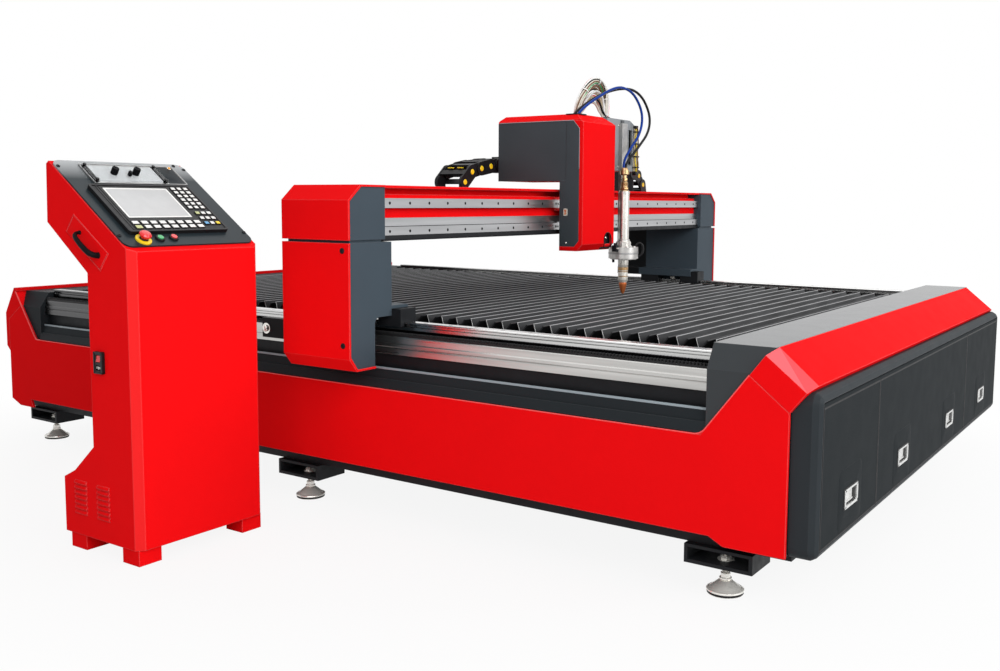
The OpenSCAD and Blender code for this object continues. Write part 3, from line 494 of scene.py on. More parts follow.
beige = surface("beige", (0.50, 0.40, 0.26), 0.45, vary=0.1, scale=80, bevel=0.0006)
brown = surface("brown", (0.16, 0.075, 0.030), 0.45, vary=0.15, scale=80, bevel=0.0006)
ochre = surface("ochre", (0.55, 0.36, 0.05), 0.42, vary=0.12, scale=80, bevel=0.0006)
clear_sheet = surface("clear_sheet", (0.96, 0.97, 0.97), 0.03, vary=0.01, scale=8, bump=0.002, bevel=0.0006,
                      specular=0.3, slot="clear_plate")
clear_shader = clear_sheet.node_tree.nodes["Principled BSDF"]
clear_shader.inputs["Transmission Weight"].default_value = 1.0
clear_shader.inputs["IOR"].default_value = 1.06

# looks of the part's own nodes
for material, names in (
        (red_paint, "side_panels front_nose rear_nose leg_covers beam carriage_shell console_cabinet"),
        (slate_paint, "door_frame"), (skin_paint, "side_skins rear_deck"), (deck_paint, "front_deck"),
        (flap_paint, "left_flap centre_flap right_flap"), (side_paint, "carriage_sides"),
        (core_paint, "leg_cores"), (panel_paint, "control_panel"), (lifter_grey, "lifter_box"),
        (ground_steel, "guide_bars"), (rack_steel, "racks"), (rail_steel, "linear_rails"),
        (beam_steel, "beam_rails"), (slat_steel, "slats"),
        (black_metal, "base_frame foot_brackets slat_supports bearing_blocks drive_motors carriage_motor"),
        (satin_metal, "latch_1 latch_2 latch_3 latch_4"), (satin_dark, "lifter_rail"),
        (foot_metal, "levelling_feet"), (bright_metal, "carriage_plate"),
        (nickel, "near_pinion far_pinion carriage_pinion"), (holder_metal, "torch_slide torch_holder"),
        (torch_metal, "torch_body"), (copper, "torch_tip"),
        (black_plastic, "chain_tray drag_chain controller console_handle power_inlet"),
        (knob_black, "left_knob right_knob middle_knob"), (red_plastic, "stop_head stop_button power_rocker"),
        (green_plastic, "start_button"), (white_key, "height_unit wire_loop"), (blue_rubber, "blue_hose"),
        (black_rubber, "black_hose")):
    for name in names.split():
        mesh = nodes[name].data
        mesh.materials.clear()
        mesh.materials.append(material)


# camera
SENSOR = 36
FOCAL_PIXELS = 1026.94
PICTURE_WIDE = 1000


def make_camera():
    data = bpy.data.cameras.new("camera")
    camera = bpy.data.objects.new("camera", data)
    bpy.context.scene.collection.objects.link(camera)
    right = Vector((0.82583, 0.56388, 0.00622))
    down = Vector((0.06137, -0.07890, -0.99499))
    ahead = Vector((-0.56057, 0.82208, -0.09976))
    m = Matrix((right, -down, -ahead)).transposed().to_4x4()
    m.translation = at(1011.716, -2918.128, 1245.467)
    camera.matrix_world = m
    data.sensor_fit = "HORIZONTAL"
    data.sensor_width = SENSOR
    data.lens = FOCAL_PIXELS * SENSOR / PICTURE_WIDE
    data.shift_x = -0.01601
    data.shift_y = -0.03089
    data.clip_end = 100
    bpy.context.scene.camera = camera


make_camera()


# light and floor
SOFT_LIGHT = 0.45
WHITE_BACK = 1.0
FLOOR_HALF = 40


def seen_rays(tree):
    path = tree.nodes.new("ShaderNodeLightPath")
    total = path.outputs["Is Camera Ray"]
    for ray in ("Is Glossy Ray", "Is Transmission Ray"):
        top = tree.nodes.new("ShaderNodeMath")
        top.operation = "MAXIMUM"
        tree.links.new(total, top.inputs[0])
        tree.links.new(path.outputs[ray], top.inputs[1])
        total = top.outputs[0]
    return total


def make_world():
    world = bpy.data.worlds.new("studio")
    bpy.context.scene.world = world
    world.use_nodes = True
    tree = world.node_tree
    tree.nodes.clear()
    out = tree.nodes.new("ShaderNodeOutputWorld")
    mix = tree.nodes.new("ShaderNodeMixShader")
    tree.links.new(seen_rays(tree), mix.inputs["Fac"])
    for socket, strength in ((1, SOFT_LIGHT), (2, WHITE_BACK)):
        sky = tree.nodes.new("ShaderNodeBackground")
        sky.inputs["Color"].default_value = (1, 1, 1, 1)
        sky.inputs["Strength"].default_value = strength
        tree.links.new(sky.outputs[0], mix.inputs[socket])
    tree.links.new(mix.outputs[0], out.inputs["Surface"])


def make_lamp(name, spot, target, size, power):
    data = bpy.data.lights.new(name, "AREA")
    data.shape = "RECTANGLE"
    data.size, data.size_y = size
    data.energy = power
    lamp = bpy.data.objects.new(name, data)
    bpy.context.scene.collection.objects.link(lamp)
    lamp.location = Vector(spot)
    lamp.rotation_euler = (Vector(target) - Vector(spot)).to_track_quat("-Z", "Y").to_euler()


def make_floor():
    bm = bmesh.new()
    bmesh.ops.create_grid(bm, x_segments=1, y_segments=1, size=FLOOR_HALF)
    mesh = bpy.data.meshes.new("floor")
    bm.to_mesh(mesh)
    bm.free()
    floor = bpy.data.objects.new("floor", mesh)
    bpy.context.scene.collection.objects.link(floor)
    look = Look("floor")
    look.shader.inputs["Base Color"].default_value = (0.62, 0.62, 0.62, 1)
    look.shader.inputs["Roughness"].default_value = 0.9
    glow = look.node("ShaderNodeEmission", Strength=1.0)
    far = look.node("ShaderNodeVectorMath", operation="LENGTH")
    look.link(look.place, far.inputs[0])
    share = look.node("ShaderNodeMath", operation="MULTIPLY")
    look.link(seen_rays(look.tree), share.inputs[0])
    look.link(look.spread(far.outputs["Value"], 0.90, 1.0, 2.0, 3.2), share.inputs[1])
    mix = look.node("ShaderNodeMixShader")
    look.link(share.outputs[0], mix.inputs["Fac"])
    look.link(look.shader.outputs[0], mix.inputs[1])
    look.link(glow.outputs[0], mix.inputs[2])
    look.link(mix.outputs[0], look.tree.nodes["Material Output"].inputs["Surface"])
    mesh.materials.append(look.material)


make_world()
make_lamp("key", (6.0, -3.5, 4.2), (0.6, 0.0, 0.7), (3.5, 3.0), 185)
make_lamp("front", (7.5, 0.8, 2.4), (0.5, 0.2, 1.1), (4.0, 2.0), 195)
make_lamp("top", (0.0, 0.5, 5.5), (0.0, 0.3, 0.0), (6.0, 5.0), 90)
make_lamp("side", (2.5, -5.0, 2.5), (1.0, -1.0, 0.4), (3.0, 2.0), 45)
make_floor()
bpy.context.scene.view_settings.view_transform = "Standard"

# hoses and the wire loop
BLUE = [(-1540, 1298, 1570), (-1540, 1298, 1588), (-1540, 1298, 1606), (-1537, 1312, 1640),
        (-1532, 1345, 1674), (-1524, 1400, 1711), (-1510, 1485, 1755), (-1495, 1575, 1795),
        (-1485, 1660, 1813), (-1475, 1745, 1798), (-1468, 1805, 1757), (-1460, 1835, 1700),
        (-1455, 1828, 1640), (-1450, 1782, 1578), (-1450, 1712, 1520), (-1450, 1657, 1471),
        (-1450, 1638, 1441), (-1450, 1634, 1423), (-1450, 1634, 1414), (-1450, 1634, 1405)]
BLACK = [(-1564, 1298, 1570), (-1564, 1298, 1588), (-1564, 1298, 1606), (-1561, 1312, 1640),
         (-1556, 1345, 1672), (-1546, 1430, 1722), (-1525, 1560, 1778), (-1505, 1685, 1809),
         (-1490, 1795, 1812), (-1480, 1880, 1778), (-1470, 1930, 1714), (-1465, 1936, 1655),
         (-1460, 1898, 1597), (-1455, 1815, 1538), (-1450, 1735, 1489), (-1450, 1690, 1461),
         (-1450, 1664, 1436), (-1450, 1656, 1419), (-1450, 1656, 1412), (-1450, 1656, 1405)]
LOOP = [(-1600, 1436, 1660), (-1600, 1436, 1678), (-1600, 1436, 1696), (-1599, 1453, 1738),
        (-1597, 1492, 1786), (-1594, 1540, 1828), (-1590, 1590, 1846), (-1586, 1636, 1832),
        (-1582, 1664, 1795), (-1580, 1673, 1745), (-1580, 1673, 1700), (-1580, 1673, 1680),
        (-1580, 1673, 1661)]
for name, route, material in (("hose_blue", BLUE, blue_rubber), ("hose_black", BLACK, black_rubber)):
    path = spline(route, 6)
    hose = Part().sweep(path, 6.4, 14).done(name, None, material)
    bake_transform(hose)
    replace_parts(hose, name[5:] + "_hose")
    at(*route[0])
    length(path)
    [at(*p) for p in path]


def strand(path, reach, phase, turns):
    line = []
    for share, p, normal, side in along(path):
        a = phase + 2 * math.pi * turns * share
        line.append(p + reach * (math.cos(a) * normal + math.sin(a) * side))
    return line


path = spline(LOOP, 6)
OUTER = (("white", ivory), ("red", red_plastic), ("black", black_rubber), ("pale", white_key),
         ("brown", brown), ("clear", ivory), ("green", green_plastic), ("beige", beige))
for k, (name, material) in enumerate(OUTER):
    line = strand(path, 14.5 if k % 2 else 12, 2 * math.pi * k / len(OUTER), 0.6 + 0.25 * (k % 3))
    wire = Part().sweep(line, 4.4 if k % 2 else 3.6, 8)
    wire.done(f"loop_{name}", "carriage", material, "wire_sheath")
LOOP_MIDDLE = Vector((-1592, 1562, 1706))
INNER = (("white", ivory, 0.20), ("brown", brown, 0.30), ("pale", white_key, 0.40),
         ("red", red_plastic, 0.50), ("beige", beige, 0.58), ("black", black_rubber, 0.68),
         ("clear", ivory, 0.76), ("dark", brown, 0.12), ("tan", beige, 0.45), ("grey", black_rubber, 0.34),
         ("cream", ivory, 0.64))
for k, (name, material, share) in enumerate(INNER):
    line = []
    for i, point in enumerate(strand(path, 9, 1.7 * k, 0.5)):
        pull = share * math.sin(math.pi * i / (len(path) - 1)) ** 0.8
        aside = Vector(((k % 3 - 1) * 16 * pull, (k % 4 - 1.5) * 14 * pull, 0))
        line.append(point.lerp(LOOP_MIDDLE, pull) + aside)
    wire = Part().sweep(line, 5.0 if k % 2 else 6.2, 8)
    wire.done(f"loop_inner_{name}", "carriage", material, "wire_sheath")
ties = Part()
for k in (9, 24, 38, 52, 64):
    t = (path[k + 1] - path[k - 1]).normalized()
    ties.lathe([(17, -3), (19.6, -3), (19.6, 3), (17, 3), (17, -3)], path[k], t, 24)
ties.done("loop_ties", "carriage", white_key, "wire_sheath")
glands = Part()
for p in (LOOP[0], LOOP[-1]):
    glands.lathe([(13, 14), (20, 13), (23, 9), (27, 8), (28, 5), (28, 0), (13, 0)], p, sides=30)
glands.done("loop_glands", "carriage", black_rubber)
loop = Part().sweep(path, 13, 14).done("loop_sheath", "carriage", ivory, "wire_sheath")
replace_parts(loop, "wire_loop")
at(*LOOP[0])
length(path)
[at(*p) for p in path]

# front flaps
LATCH_LOW = 290
LATCH_HIGH = 342
FLAP_FACE = 86.4
SURROUND_FACE = 89.3
LATCHES = ((345, "left_flap"), (998, "centre_flap"), (1792, "centre_flap"), (2500, "right_flap"))
for number, (y, body) in enumerate(LATCHES, 1):
    hole = round_box(y - 61, y + 61, LATCH_LOW, LATCH_HIGH + 5.8, 4)
    surround = Part().frame(round_box(y - 76, y + 76, 261, 369, 5), hole, "x", FLAP_FACE, SURROUND_FACE, 0.2)
    rings = [round_box(y - 125, y + 125, 214, 416, 30), round_box(y - 75.5, y + 75.5, 261.5, 368.5, 5)]
    corners = [(FLAP_FACE + 0.65, *p) for p in rings[0]] + [(SURROUND_FACE, *p) for p in rings[1]]
    corners += [(FLAP_FACE, *p) for p in rings[1]] + [(FLAP_FACE, *p) for p in rings[0]]
    n = len(rings[0])
    slopes = []
    for ring in range(4):
        a, b = ring * n, (ring + 1) % 4 * n
        slopes += [(a + i, a + (i + 1) % n, b + (i + 1) % n, b + i) for i in range(n)]
    surround.add(corners, slopes)
    surround.done(f"latch_surround_{number}", body, flap_paint)
    # a black ring around the latch bezel, painted shade of the gap
    gap_shade = Part().frame(round_box(y - 73, y + 73, LATCH_LOW - 9, LATCH_HIGH + 9, 6), hole, "x", 89, 90.4, 0.3)
    gap_shade.done(f"latch_seal_{number}", body, black_rubber)
    bezel = Part().frame(round_box(y - 69, y + 69, LATCH_LOW - 6, LATCH_HIGH + 6, 5),
                         round_box(y - 59, y + 59, LATCH_LOW + 3, LATCH_HIGH - 1, 3), "x", 88, 94, 1.4)
    bezel.done(f"latch_bezel_{number}", body, bright_metal)
    cup = Part().frame(round_box(y - 60, y + 60, LATCH_LOW + 1, LATCH_HIGH + 7, 4),
                       round_box(y - 58, y + 58, LATCH_LOW + 3, LATCH_HIGH + 5.4, 3), "x", 66, 89)
    cup.prism(round_box(y - 59, y + 59, LATCH_LOW + 1, LATCH_HIGH + 6, 3), "x", 65, 67)
    for side in (-46, 46):
        cup.screw((66.8, y + side, LATCH_LOW + 12), (1, 0, 0), 5, 3)
    cup.done(f"latch_cup_{number}", body, satin_metal)
    paddle = Part().box(77, 83.4, y - 56, y + 36, LATCH_LOW + 7, LATCH_HIGH - 3, 1.4)
    paddle.box(82, 86.4, y - 54, y + 34, LATCH_LOW + 8, LATCH_LOW + 13, 1)
    paddle.lathe([(0, -57), (3.4, -57), (3.4, 57), (0, 57)], (79, y, 343), (0, 1, 0), 14)
    paddle = paddle.done(f"latch_face_{number}", f"latch_{number}", pale_metal)
    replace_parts(paddle, f"latch_{number}")
# a black ring along the edge of each flap, painted shade of the gap around it
for name in ("left_flap", "centre_flap", "right_flap"):
    low, high = box_of(name)
    outer = round_box(low.y, high.y, low.z, high.z - 12, 2)
    inner = round_box(low.y + 5, high.y - 5, low.z + 5, high.z - 18, 2)
    Part().frame(outer, inner, "x", 85.6, 87.5, 0.2).done(f"{name}_seal", name, black_rubber)
flange = Part()
for y0, y1 in ((3.5, 42), (WIDE - 42, WIDE - 3.5)):
    flange.box(-12, -3, y0, y1, 186, 570, 1)
flange.done("door_flanges", "table", slate_paint)

# rails and skins
RAIL_PITCH = 120
plugs = Part()
for y in (110.5, WIDE - 110.5):
    for k in range(30):
        plugs.lathe([(0, 0.5), (6.4, 0.5), (7, 0)], (-3870 + RAIL_PITCH * k, y, 781), sides=14)
plugs.done("rail_plugs", "table", satin_metal, "rail_steel")
screws = Part()
for k in range(24):
    for z in (1237, 1128):
        screws.screw((-1625.65, 80 + RAIL_PITCH * k, z), (1, 0, 0), 7, 3.8)
screws.done("beam_screws", "gantry", black_rubber, "motor_black")
rail_low, rail_high = box_of("beam_rails")
beam_low = box_of("beam")[0].z
face = rail_high.x
span = (rail_low.y + 2, rail_high.y - 2)
# a black strip under the lower beam rail and a dark line on the flat just above it, painted shadow
under_rail_shadow = [(face - 14, rail_low.z - 1), (face - 3, rail_low.z - 1), (face - 0.6, rail_low.z + 2),
       (face - 0.6, beam_low + 8.4), (face - 14, beam_low + 8.4)]
Part().prism(under_rail_shadow, "y", *span, 0.8).done("beam_shadow_strip", "gantry", black_metal)
ledge_shadow = [(face - 11, beam_low + 40.6), (face - 9.3, beam_low + 40.6), (face - 9.3, beam_low + 43.2),
        (face - 11, beam_low + 43.8)]
Part().prism(ledge_shadow, "y", *span).done("rail_shadow_line", "gantry", black_metal)
SKIN = (-3919, -271)
# the pale strip on the lip of each skin is a painted highlight
lip_highlight_line = [(30.5, 600), (37.5, 600), (38.2, 606), (35, 608.4), (31.2, 607)]
fold_line = [(5.4, 531), (18.2, 566), (17, 567), (15.6, 566.4), (3.4, 533)]
for name, line, bevel, material in (("skin_lips", lip_highlight_line, 0.8, painted_highlight_trim),
                                    ("skin_folds", fold_line, 0.6, skin_paint)):
    strip = Part().prism(line, "x", *SKIN, bevel)
    strip.prism([(WIDE - y, z) for y, z in line], "x", *SKIN, bevel)
    strip.done(name, "table", material)

# beads along the top edge of the side panels, light red as a painted highlight
corner = Vector((-282, 528))
deck_edge = Vector((-65, box_of("front_deck")[1].z))
slope_end = corner.lerp(deck_edge, 0.71)
start = corner + Vector((-26, 0))
end = corner + (slope_end - corner).normalized() * 26
curve = [start.lerp(corner, t / 6).lerp(corner.lerp(end, t / 6), t / 6) for t in range(7)]
highlight_beads = Part()
fillets = Part()
for y, low, high in ((1.2, 0.2, 11.8), (WIDE - 1.2, WIDE - 11.8, WIDE - 0.2)):
    highlight_beads.sweep([(p.x, y, p.y) for p in [Vector((-3946, 528))] + curve + [slope_end]], 2.3, 8)
    fillets.prism([tuple(p) for p in curve] + [tuple(corner)], "y", low, high)
highlight_beads.done("panel_highlight_beads", "table", painted_highlight_red)
rear_line = [(-4121, 763.5), (-4072.5, 697), (-3968, 553), (-3958, 540), (-3949, 532), (-3938, 529),
             (-3915, 528.4)]
rear_highlight_beads = Part()
for y in (1.4, WIDE - 1.4):
    rear_highlight_beads.sweep([(x, y, z) for x, z in rear_line], 3.4, 8)
rear_highlight_beads.done("rear_highlight_beads", "table", painted_highlight_red)
fillets.done("panel_fillets", "table", red_paint)

# cut edges of the slats, and lips that close the ends of the sheet below them
SLATS = 47
SLAT_PITCH = 75
burrs = Part()
for k in range(SLATS):
    x = -388 - SLAT_PITCH * k
    for y0, y1 in ((355.8, 358.2), (WIDE - 358.2, WIDE - 355.8)):
        burrs.prism([(x - 2.2, 779.2), (x + 0.2, 779.2), (x + 12.6, 740), (x + 10.4, 739)], "y", y0, y1)
burrs.done("slat_burrs", "table", burr_metal)
lips = Part()
for start, end, fold in ((-3996, -4176, 3), (-196, -12, -3)):
    line = [(start, 256.2), (end, 256.2), (end, 300), (end + fold, 300), (end + fold, 259.2), (start, 259.2)]
    lips.prism(line, "y", 190, WIDE - 190)
lips.done("pan_lips", "table", black_metal, "slat_steel")

# feet
FEET = [(x, y, 0) for x in (-228, -2095, -3962) for y in (104, WIDE - 104)]
THREAD = 3
rubber = Part()
rims = Part()
rods = Part()
for foot in FEET:
    rubber.lathe([(0, 0.3), (57, 0.3), (58.9, 2.5), (58.9, 8.5), (56, 9.4)], foot, sides=40)
    rims.lathe([(57, 9.2), (60, 9.6), (61, 12), (60, 15), (57, 17), (52, 19.4)], foot, sides=40)
    rims.lathe([(15, 45), (20, 46), (20, 51), (15, 52)], foot, sides=24)
    rims.lathe([(11, 108), (27, 109.5), (27, 112.5), (11, 113)], foot, sides=28)
    for low, high in ((66, 84), (124, 148)):
        thread = [(0, low)]
        for z in range(low, high, THREAD):
            thread += [(10.1, z), (11.3, z + THREAD / 2)]
        rods.lathe(thread + [(10.1, high), (0, high)], foot, sides=20)
rubber.done("foot_pads", "table", black_rubber)
rims.done("foot_rims", "table", foot_metal)
rods.done("foot_threads", "table", nickel)

# legs
leg_screws = Part()
stop_bolts = Part()
for y, out in ((-174, -1), (WIDE + 174, 1)):
    for z in (1062, 711):
        leg_screws.screw((-1631, y - out, z), (0, out, 0), 8.5, 4.5)
        leg_screws.lathe([(8.4, 0), (11, 0.2), (11, 1.4), (8.4, 1.8)], (-1631, y, z), (0, out, 0), 20)
    inner = -68 if out < 0 else WIDE + 68
    for line in ([(0, 11), (5, 10.4), (10, 8), (13.4, 3), (13.4, 0)],
                 [(13.2, -7.5), (22, -7.2), (22, -4), (13.2, -3.4)]):
        stop_bolts.lathe(line, (-2164, inner, 727), (0, out, 0), 22)
leg_screws.done("leg_screws", "gantry", black_metal)
stop_bolts.done("stop_bolts", "gantry", nickel)

# carriage
cover = [(-1584, 1034), (-1510, 1034), (-1486, 1060), (-1486, 1586), (-1519, 1624), (-1557, 1624),
         (-1557, 1348), (-1584, 1348)]
side = [(-1950.6, 1344.4), (-1950.6, 1625.5), (-1519, 1625.5), (-1485.5, 1586), (-1485.5, 1061),
        (-1509, 1034), (-1592.6, 1034), (-1592.6, 1344.4)]
Part().prism(side, "y", 1263.8, 1269.5, 0.6).done("carriage_skin", "carriage", side_paint)
Part().prism(cover, "y", 1262.4, 1264.8, 0.9).done("carriage_cover", "carriage", side_paint)
edge = [(-1464.5, 1044.8), (-1464.5, 1618), (-1476, 1626.5), (-1518, 1626.5), (-1484, 1586), (-1484, 1062),
        (-1508, 1034), (-1592.6, 1034), (-1592.6, 1013), (-1495, 1013)]
Part().prism(edge, "y", 1262.6, 1269.4, 1.6).done("carriage_edge", "carriage", red_paint)
# a pale line along the top and front edges of the slate cover, a painted highlight
line = [(-1940, 1627), (-1700, 1627), (-1519, 1627), (-1486, 1589), (-1486, 1400)]
Part().sweep([(x, 1263.2, z) for x, z in line], 1.7, 8).done("cover_edge_highlight", "carriage", painted_highlight_trim)
grommet = Part().frame(round_box(-1587, -1510, 1294, 1376, 12), round_box(-1577, -1520, 1304, 1366, 8),
                       "z", 1657, 1662.4, 1.2)
grommet.done("hose_grommet", "carriage", black_rubber)
socket = Part().frame(round_box(-1567, -1547, 1180, 1214, 4), round_box(-1564, -1550, 1184, 1210, 3), "y",
                      1258, 1265, 0.8)
socket.prism(round_box(-1564.5, -1549.5, 1183.5, 1210.5, 3), "y", 1261, 1264.5)
socket.done("socket_rim", "carriage", ivory)
pins = Part()
for z in (1191, 1203):
    pins.lathe([(2, -1), (4.6, -1), (4.6, 3.4), (3.4, 4), (2, 3)], (-1557, 1261, z), (0, -1, 0), 16)
pins.done("socket_pins", "carriage", copper)
Part().screw((-1552, 1262.8, 1052), (0, -1, 0), 4.5, 3).done("cover_screws", "carriage", nickel)


def arch(r, foot):
    y, z = 1508, 1063
    return [(y + r, foot)] + circle(y, z, r, 28)[:15] + [(y - r, foot)]


trim = Part().frame(arch(37, 1024), arch(33.4, 1027.4), "x", -1467, -1462, 1.2)
trim.done("slot_trim", "carriage", black_rubber)
backing = Part().prism(arch(42, 1018), "x", -1485, -1482)
backing.box(-1484, -1480.5, 1490, 1526, 1030, 1052, 1)
backing.done("slot_backing", "carriage", black_metal)
Part().screw((-1482.5, 1516, 1072), (1, 0, 0), 7, 5).done("slot_screw", "carriage", nickel)

# lifter
liner = Part().prism(round_box(1754, 1831, 1436, 1612, 3), "x", -1526, -1523.6)
for y in (1763, 1822):
    liner.box(-1525, -1515, y - 2.5, y + 2.5, 1440, 1608, 1)
liner.done("lifter_slot", "carriage", black_metal)
heads = Part()
for z in (1423, 1630):
    for y in (1590, 1684, 1752):
        heads.screw((-1510.4, y, z), (1, 0, 0), 5, 3)
heads.done("lifter_screws", "carriage", nickel)
clip = Part()
for z in (1606, 1545, 1480, 1425):
    clip.frame(round_box(-1512, -1486, 1838, 1872, 5), round_box(-1510, -1488, 1840, 1870, 4), "z", z - 3,
               z + 3, 0.6)
clip.box(-1511, -1490, 1838, 1872, 1384, 1404, 2)
clip.box(-1511, -1494, 1842, 1868, 1622, 1638, 2)
clip.done("loom_clips", "carriage", black_plastic)
for k, (name, material) in enumerate((("loom_beige", beige), ("loom_yellow", yellow), ("loom_brown", brown),
                                      ("loom_white", ivory), ("loom_ochre", ochre))):
    x, y = -1505 + 7 * (k % 3), 1846 + 6.5 * k
    wave = [(x - 4, y, 1630)]
    for j in range(1, 12):
        wave.append((x + 2.2 * math.sin(j * 1.3 + k), y + 2.6 * math.cos(j * 0.9 + 2 * k), 1630 - 20.5 * j))
    wave.append((x - 2, y, 1396))
    Part().sweep(spline(wave, 3), 3.4, 8).done(name, "carriage", material)

# torch
shield = Part().lathe([(17, 845), (20.5, 846), (20.8, 850), (23.6, 853), (24.4, 858), (24.4, 872),
                       (23, 873.5), (23, 877),
                       (24.4, 878.5), (24.4, 896), (22.6, 897.5), (22.6, 901), (24.6, 903), (24.6, 925),
                       (25.6, 927), (25.6, 939.6), (0, 939.6)], TORCH, sides=40)
tip = shield.done("tip_shield", "torch", shield_metal)
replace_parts(tip, "torch_tip")
bands = Part()
for z in (875.3, 899.3):
    bands.lathe([(23.1, z - 1.6), (24.7, z - 1.2), (24.7, z + 1.2), (23.1, z + 1.6)], TORCH, sides=40)
bands.lathe([(24.5, 906), (25.4, 907), (25.4, 921), (24.5, 922)], TORCH, sides=40)
bands.done("tip_bands", "torch", bronze)
nozzle = Part().lathe([(0, 795), (3, 788.4), (5, 788.4), (6.6, 791), (9.4, 797), (15, 815), (18.6, 829),
                       (19.6, 836), (19.6, 840), (17.8, 841), (17.8, 846), (0, 846)], TORCH, sides=36)
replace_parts(nozzle.done("tip_nozzle", "torch", copper, "copper"), "torch_tip")
fitting = Part().lathe([(17, 1306), (20, 1307), (21.6, 1309), (21.6, 1318), (20, 1320), (17, 1321)], TORCH,
                       sides=6)
for k in range(9):
    fitting.lathe([(17, 1326 + 2 * k), (18.4, 1327 + 2 * k), (17, 1328 + 2 * k)], TORCH, sides=24)
fitting.lathe([(12, 1352), (15.5, 1353), (15.5, 1364), (12, 1365)], TORCH, sides=6)
for y in (1634, 1656):
    fitting.lathe([(9, 1403), (11, 1404), (11, 1409), (10.2, 1410), (10.2, 1415), (9, 1416)], (TORCH_X, y, 0),
                  sides=20)
fitting.done("torch_fittings", "torch", bronze)
collar = Part().lathe([(26, 1052), (31, 1053), (31, 1060), (28, 1062), (26, 1062)], TORCH, sides=36)
for x, y in circle(TORCH_X, TORCH_Y, 35):
    collar.lathe([(0, 0), (2.2, 0), (2.2, 22), (0, 23)], (x, y, 1026), sides=6)
for a in angles(6):
    x, y = TORCH_X + 55 * math.cos(a + 0.3), TORCH_Y + 55 * math.sin(a + 0.3)
    collar.screw((x, y, 1022.6), (0, 0, 1), 6, 5)
collar.lathe([(26.2, 1286), (28, 1287), (28, 1297), (26.2, 1298)], TORCH, sides=36)
collar.done("torch_collar", "torch", holder_metal)
band = Part().lathe([(73.8, 988), (75.2, 989), (75.2, 996), (73.8, 997)], TORCH, sides=56)
band.done("ring_band", "torch", satin_metal)
hook = [(60, 1022), (68, 1036), (82, 1042), (95, 1032), (99, 1010), (94, 988), (80, 976), (70, 978)]
hook = [(TORCH_X + 0.826 * out, TORCH_Y + 0.564 * out, z) for out, z in hook]
Part().sweep(spline(hook, 5), 5.5, 12).done("ring_hook", "torch", black_rubber)
lug = Part().box(-1462, -1438, 1548, 1576, 1002, 1034, 2)
lug.lathe([(0, 0), (9, 0), (9, 10), (7, 12), (0, 12)], (TORCH_X, 1562, 1033), sides=20)
lug.lathe([(0, -18), (5, -18), (6.5, -15), (6.5, 2), (0, 2)], (-1491, 1617, 963), sides=16)
lug.done("ring_lug", "torch", black_metal)
heads = Part()
for y in (1556, 1568):
    heads.screw((-1438.4, y, 1018), (1, 0, 0), 4.5, 4)
heads.done("lug_screws", "torch", nickel)

# drag chain
BEND = ((1007, 1258.5), (1003, 1336.5), (1060, 1386.5), (1136, 1404.5), (1213, 1417.5), (1290, 1426.5),
        (1368, 1431.5))
FAR_BEND = ((2774, 1408), (2830, 1354), (2848, 1278))
for name, body, spots in (("chain_dots", "carriage", BEND), ("far_chain_dots", "gantry", FAR_BEND)):
    dots = Part()
    for y, z in spots:
        for x, out in ((-1958, 1), (-2118, -1)):
            dots.lathe([(0, 1.8), (6, 2.4), (11.5, 2), (13.5, 0)], (x, y, z), (out, 0, 0), 20)
    dots.done(name, body, yellow)
tabs = Part()
for x in (-2066, -2010):
    tabs.box(x - 12, x + 12, 1020, 1042, 1403, 1408, 1.5)
tabs.done("chain_tabs", "carriage", yellow)

# console panel
screen = Part().prism(round_box(104, 354, 154, 320, 3), "z", 14.6, 16.4, 0.5, PANEL)
screen.done("screen_glass", "table", screen_grey)
border = Part().frame(round_box(96.5, 361.5, 146.5, 327.5, 4), round_box(104, 354, 154, 320, 3),
                      "z", 14.5, 17.4, 0.7, PANEL)
border.done("screen_border", "table", white_key)
rim = Part().frame(round_box(49, 469, 63, 347, 11), round_box(58, 460, 72, 338, 6), "z", 16.5, 20.5, 1.2,
                   PANEL)
rim.frame(round_box(72, 86, 74, 336, 3), round_box(75, 83, 77, 333, 2), "z", 17, 19.4, 0.6, PANEL)
rim.done("controller_rim", "table", black_plastic)
caps = {"white": Part(), "blue": Part(), "yellow": Part(), "green": Part()}


def cap(colour, y, u, wide, tall):
    gap = 2.2
    caps[colour].box(50 + y + gap, 50 + y + wide - gap, u + gap, u + tall - gap, 20, 22.6, 0.9, PANEL)


for i in range(3):
    for k in range(6):
        cap("white", 326 + i * 27.5, 194 + k * 23.6, 20, 18)
    for k in range(3):
        special = {(0, 0): "blue", (2, 0): "yellow", (0, 2): "green"}.get((i, k), "white")
        cap(special, 335 + i * 25, 96 + k * 31, 20, 18)
for i in range(8):
    for k in range(2):
        cap("green" if (i, k) == (0, 0) else "white", 36 + i * 36.7, 78 + k * 25, 28, 20)
for colour, material in (("white", white_key), ("blue", blue_key), ("yellow", yellow), ("green", olive_key)):
    caps[colour].done(f"keys_{colour}", "table", material)

# height unit
KNOBS = (("left_knob", 201, 424, 12, 38.5), ("right_knob", 291, 424, 12, 38.5),
         ("middle_knob", 260, 414, 7, 30.5))
holes = [circle(y, u, 6) for _, y, u, _, _ in KNOBS]
unit = Part().plate(round_box(94, 486, 364, 484, 4), holes, "z", 6, 11, PANEL)
unit.frame(round_box(93, 487, 363, 485, 5), round_box(97, 483, 367, 481, 3), "z", 6, 13, 0.8, PANEL)
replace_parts(unit.done("unit_plate", "table", satin_metal), "height_unit")
face = Part().plate(round_box(118, 398, 379, 471, 3), holes, "z", 11, 12.2, PANEL)
face.done("unit_face", "table", pale_grey)
blank = Part().prism(round_box(408, 480, 369, 479, 3), "z", 11, 12, 0.4, PANEL)
blank.done("unit_blank", "table", slate_paint)
cover = Part().plate(round_box(96, 404, 366, 482, 5), [circle(y, u, 14) for _, y, u, _, _ in KNOBS],
                     "z", 17, 20.4, PANEL)
cover.done("unit_cover", "table", clear_sheet)
bars = Part()
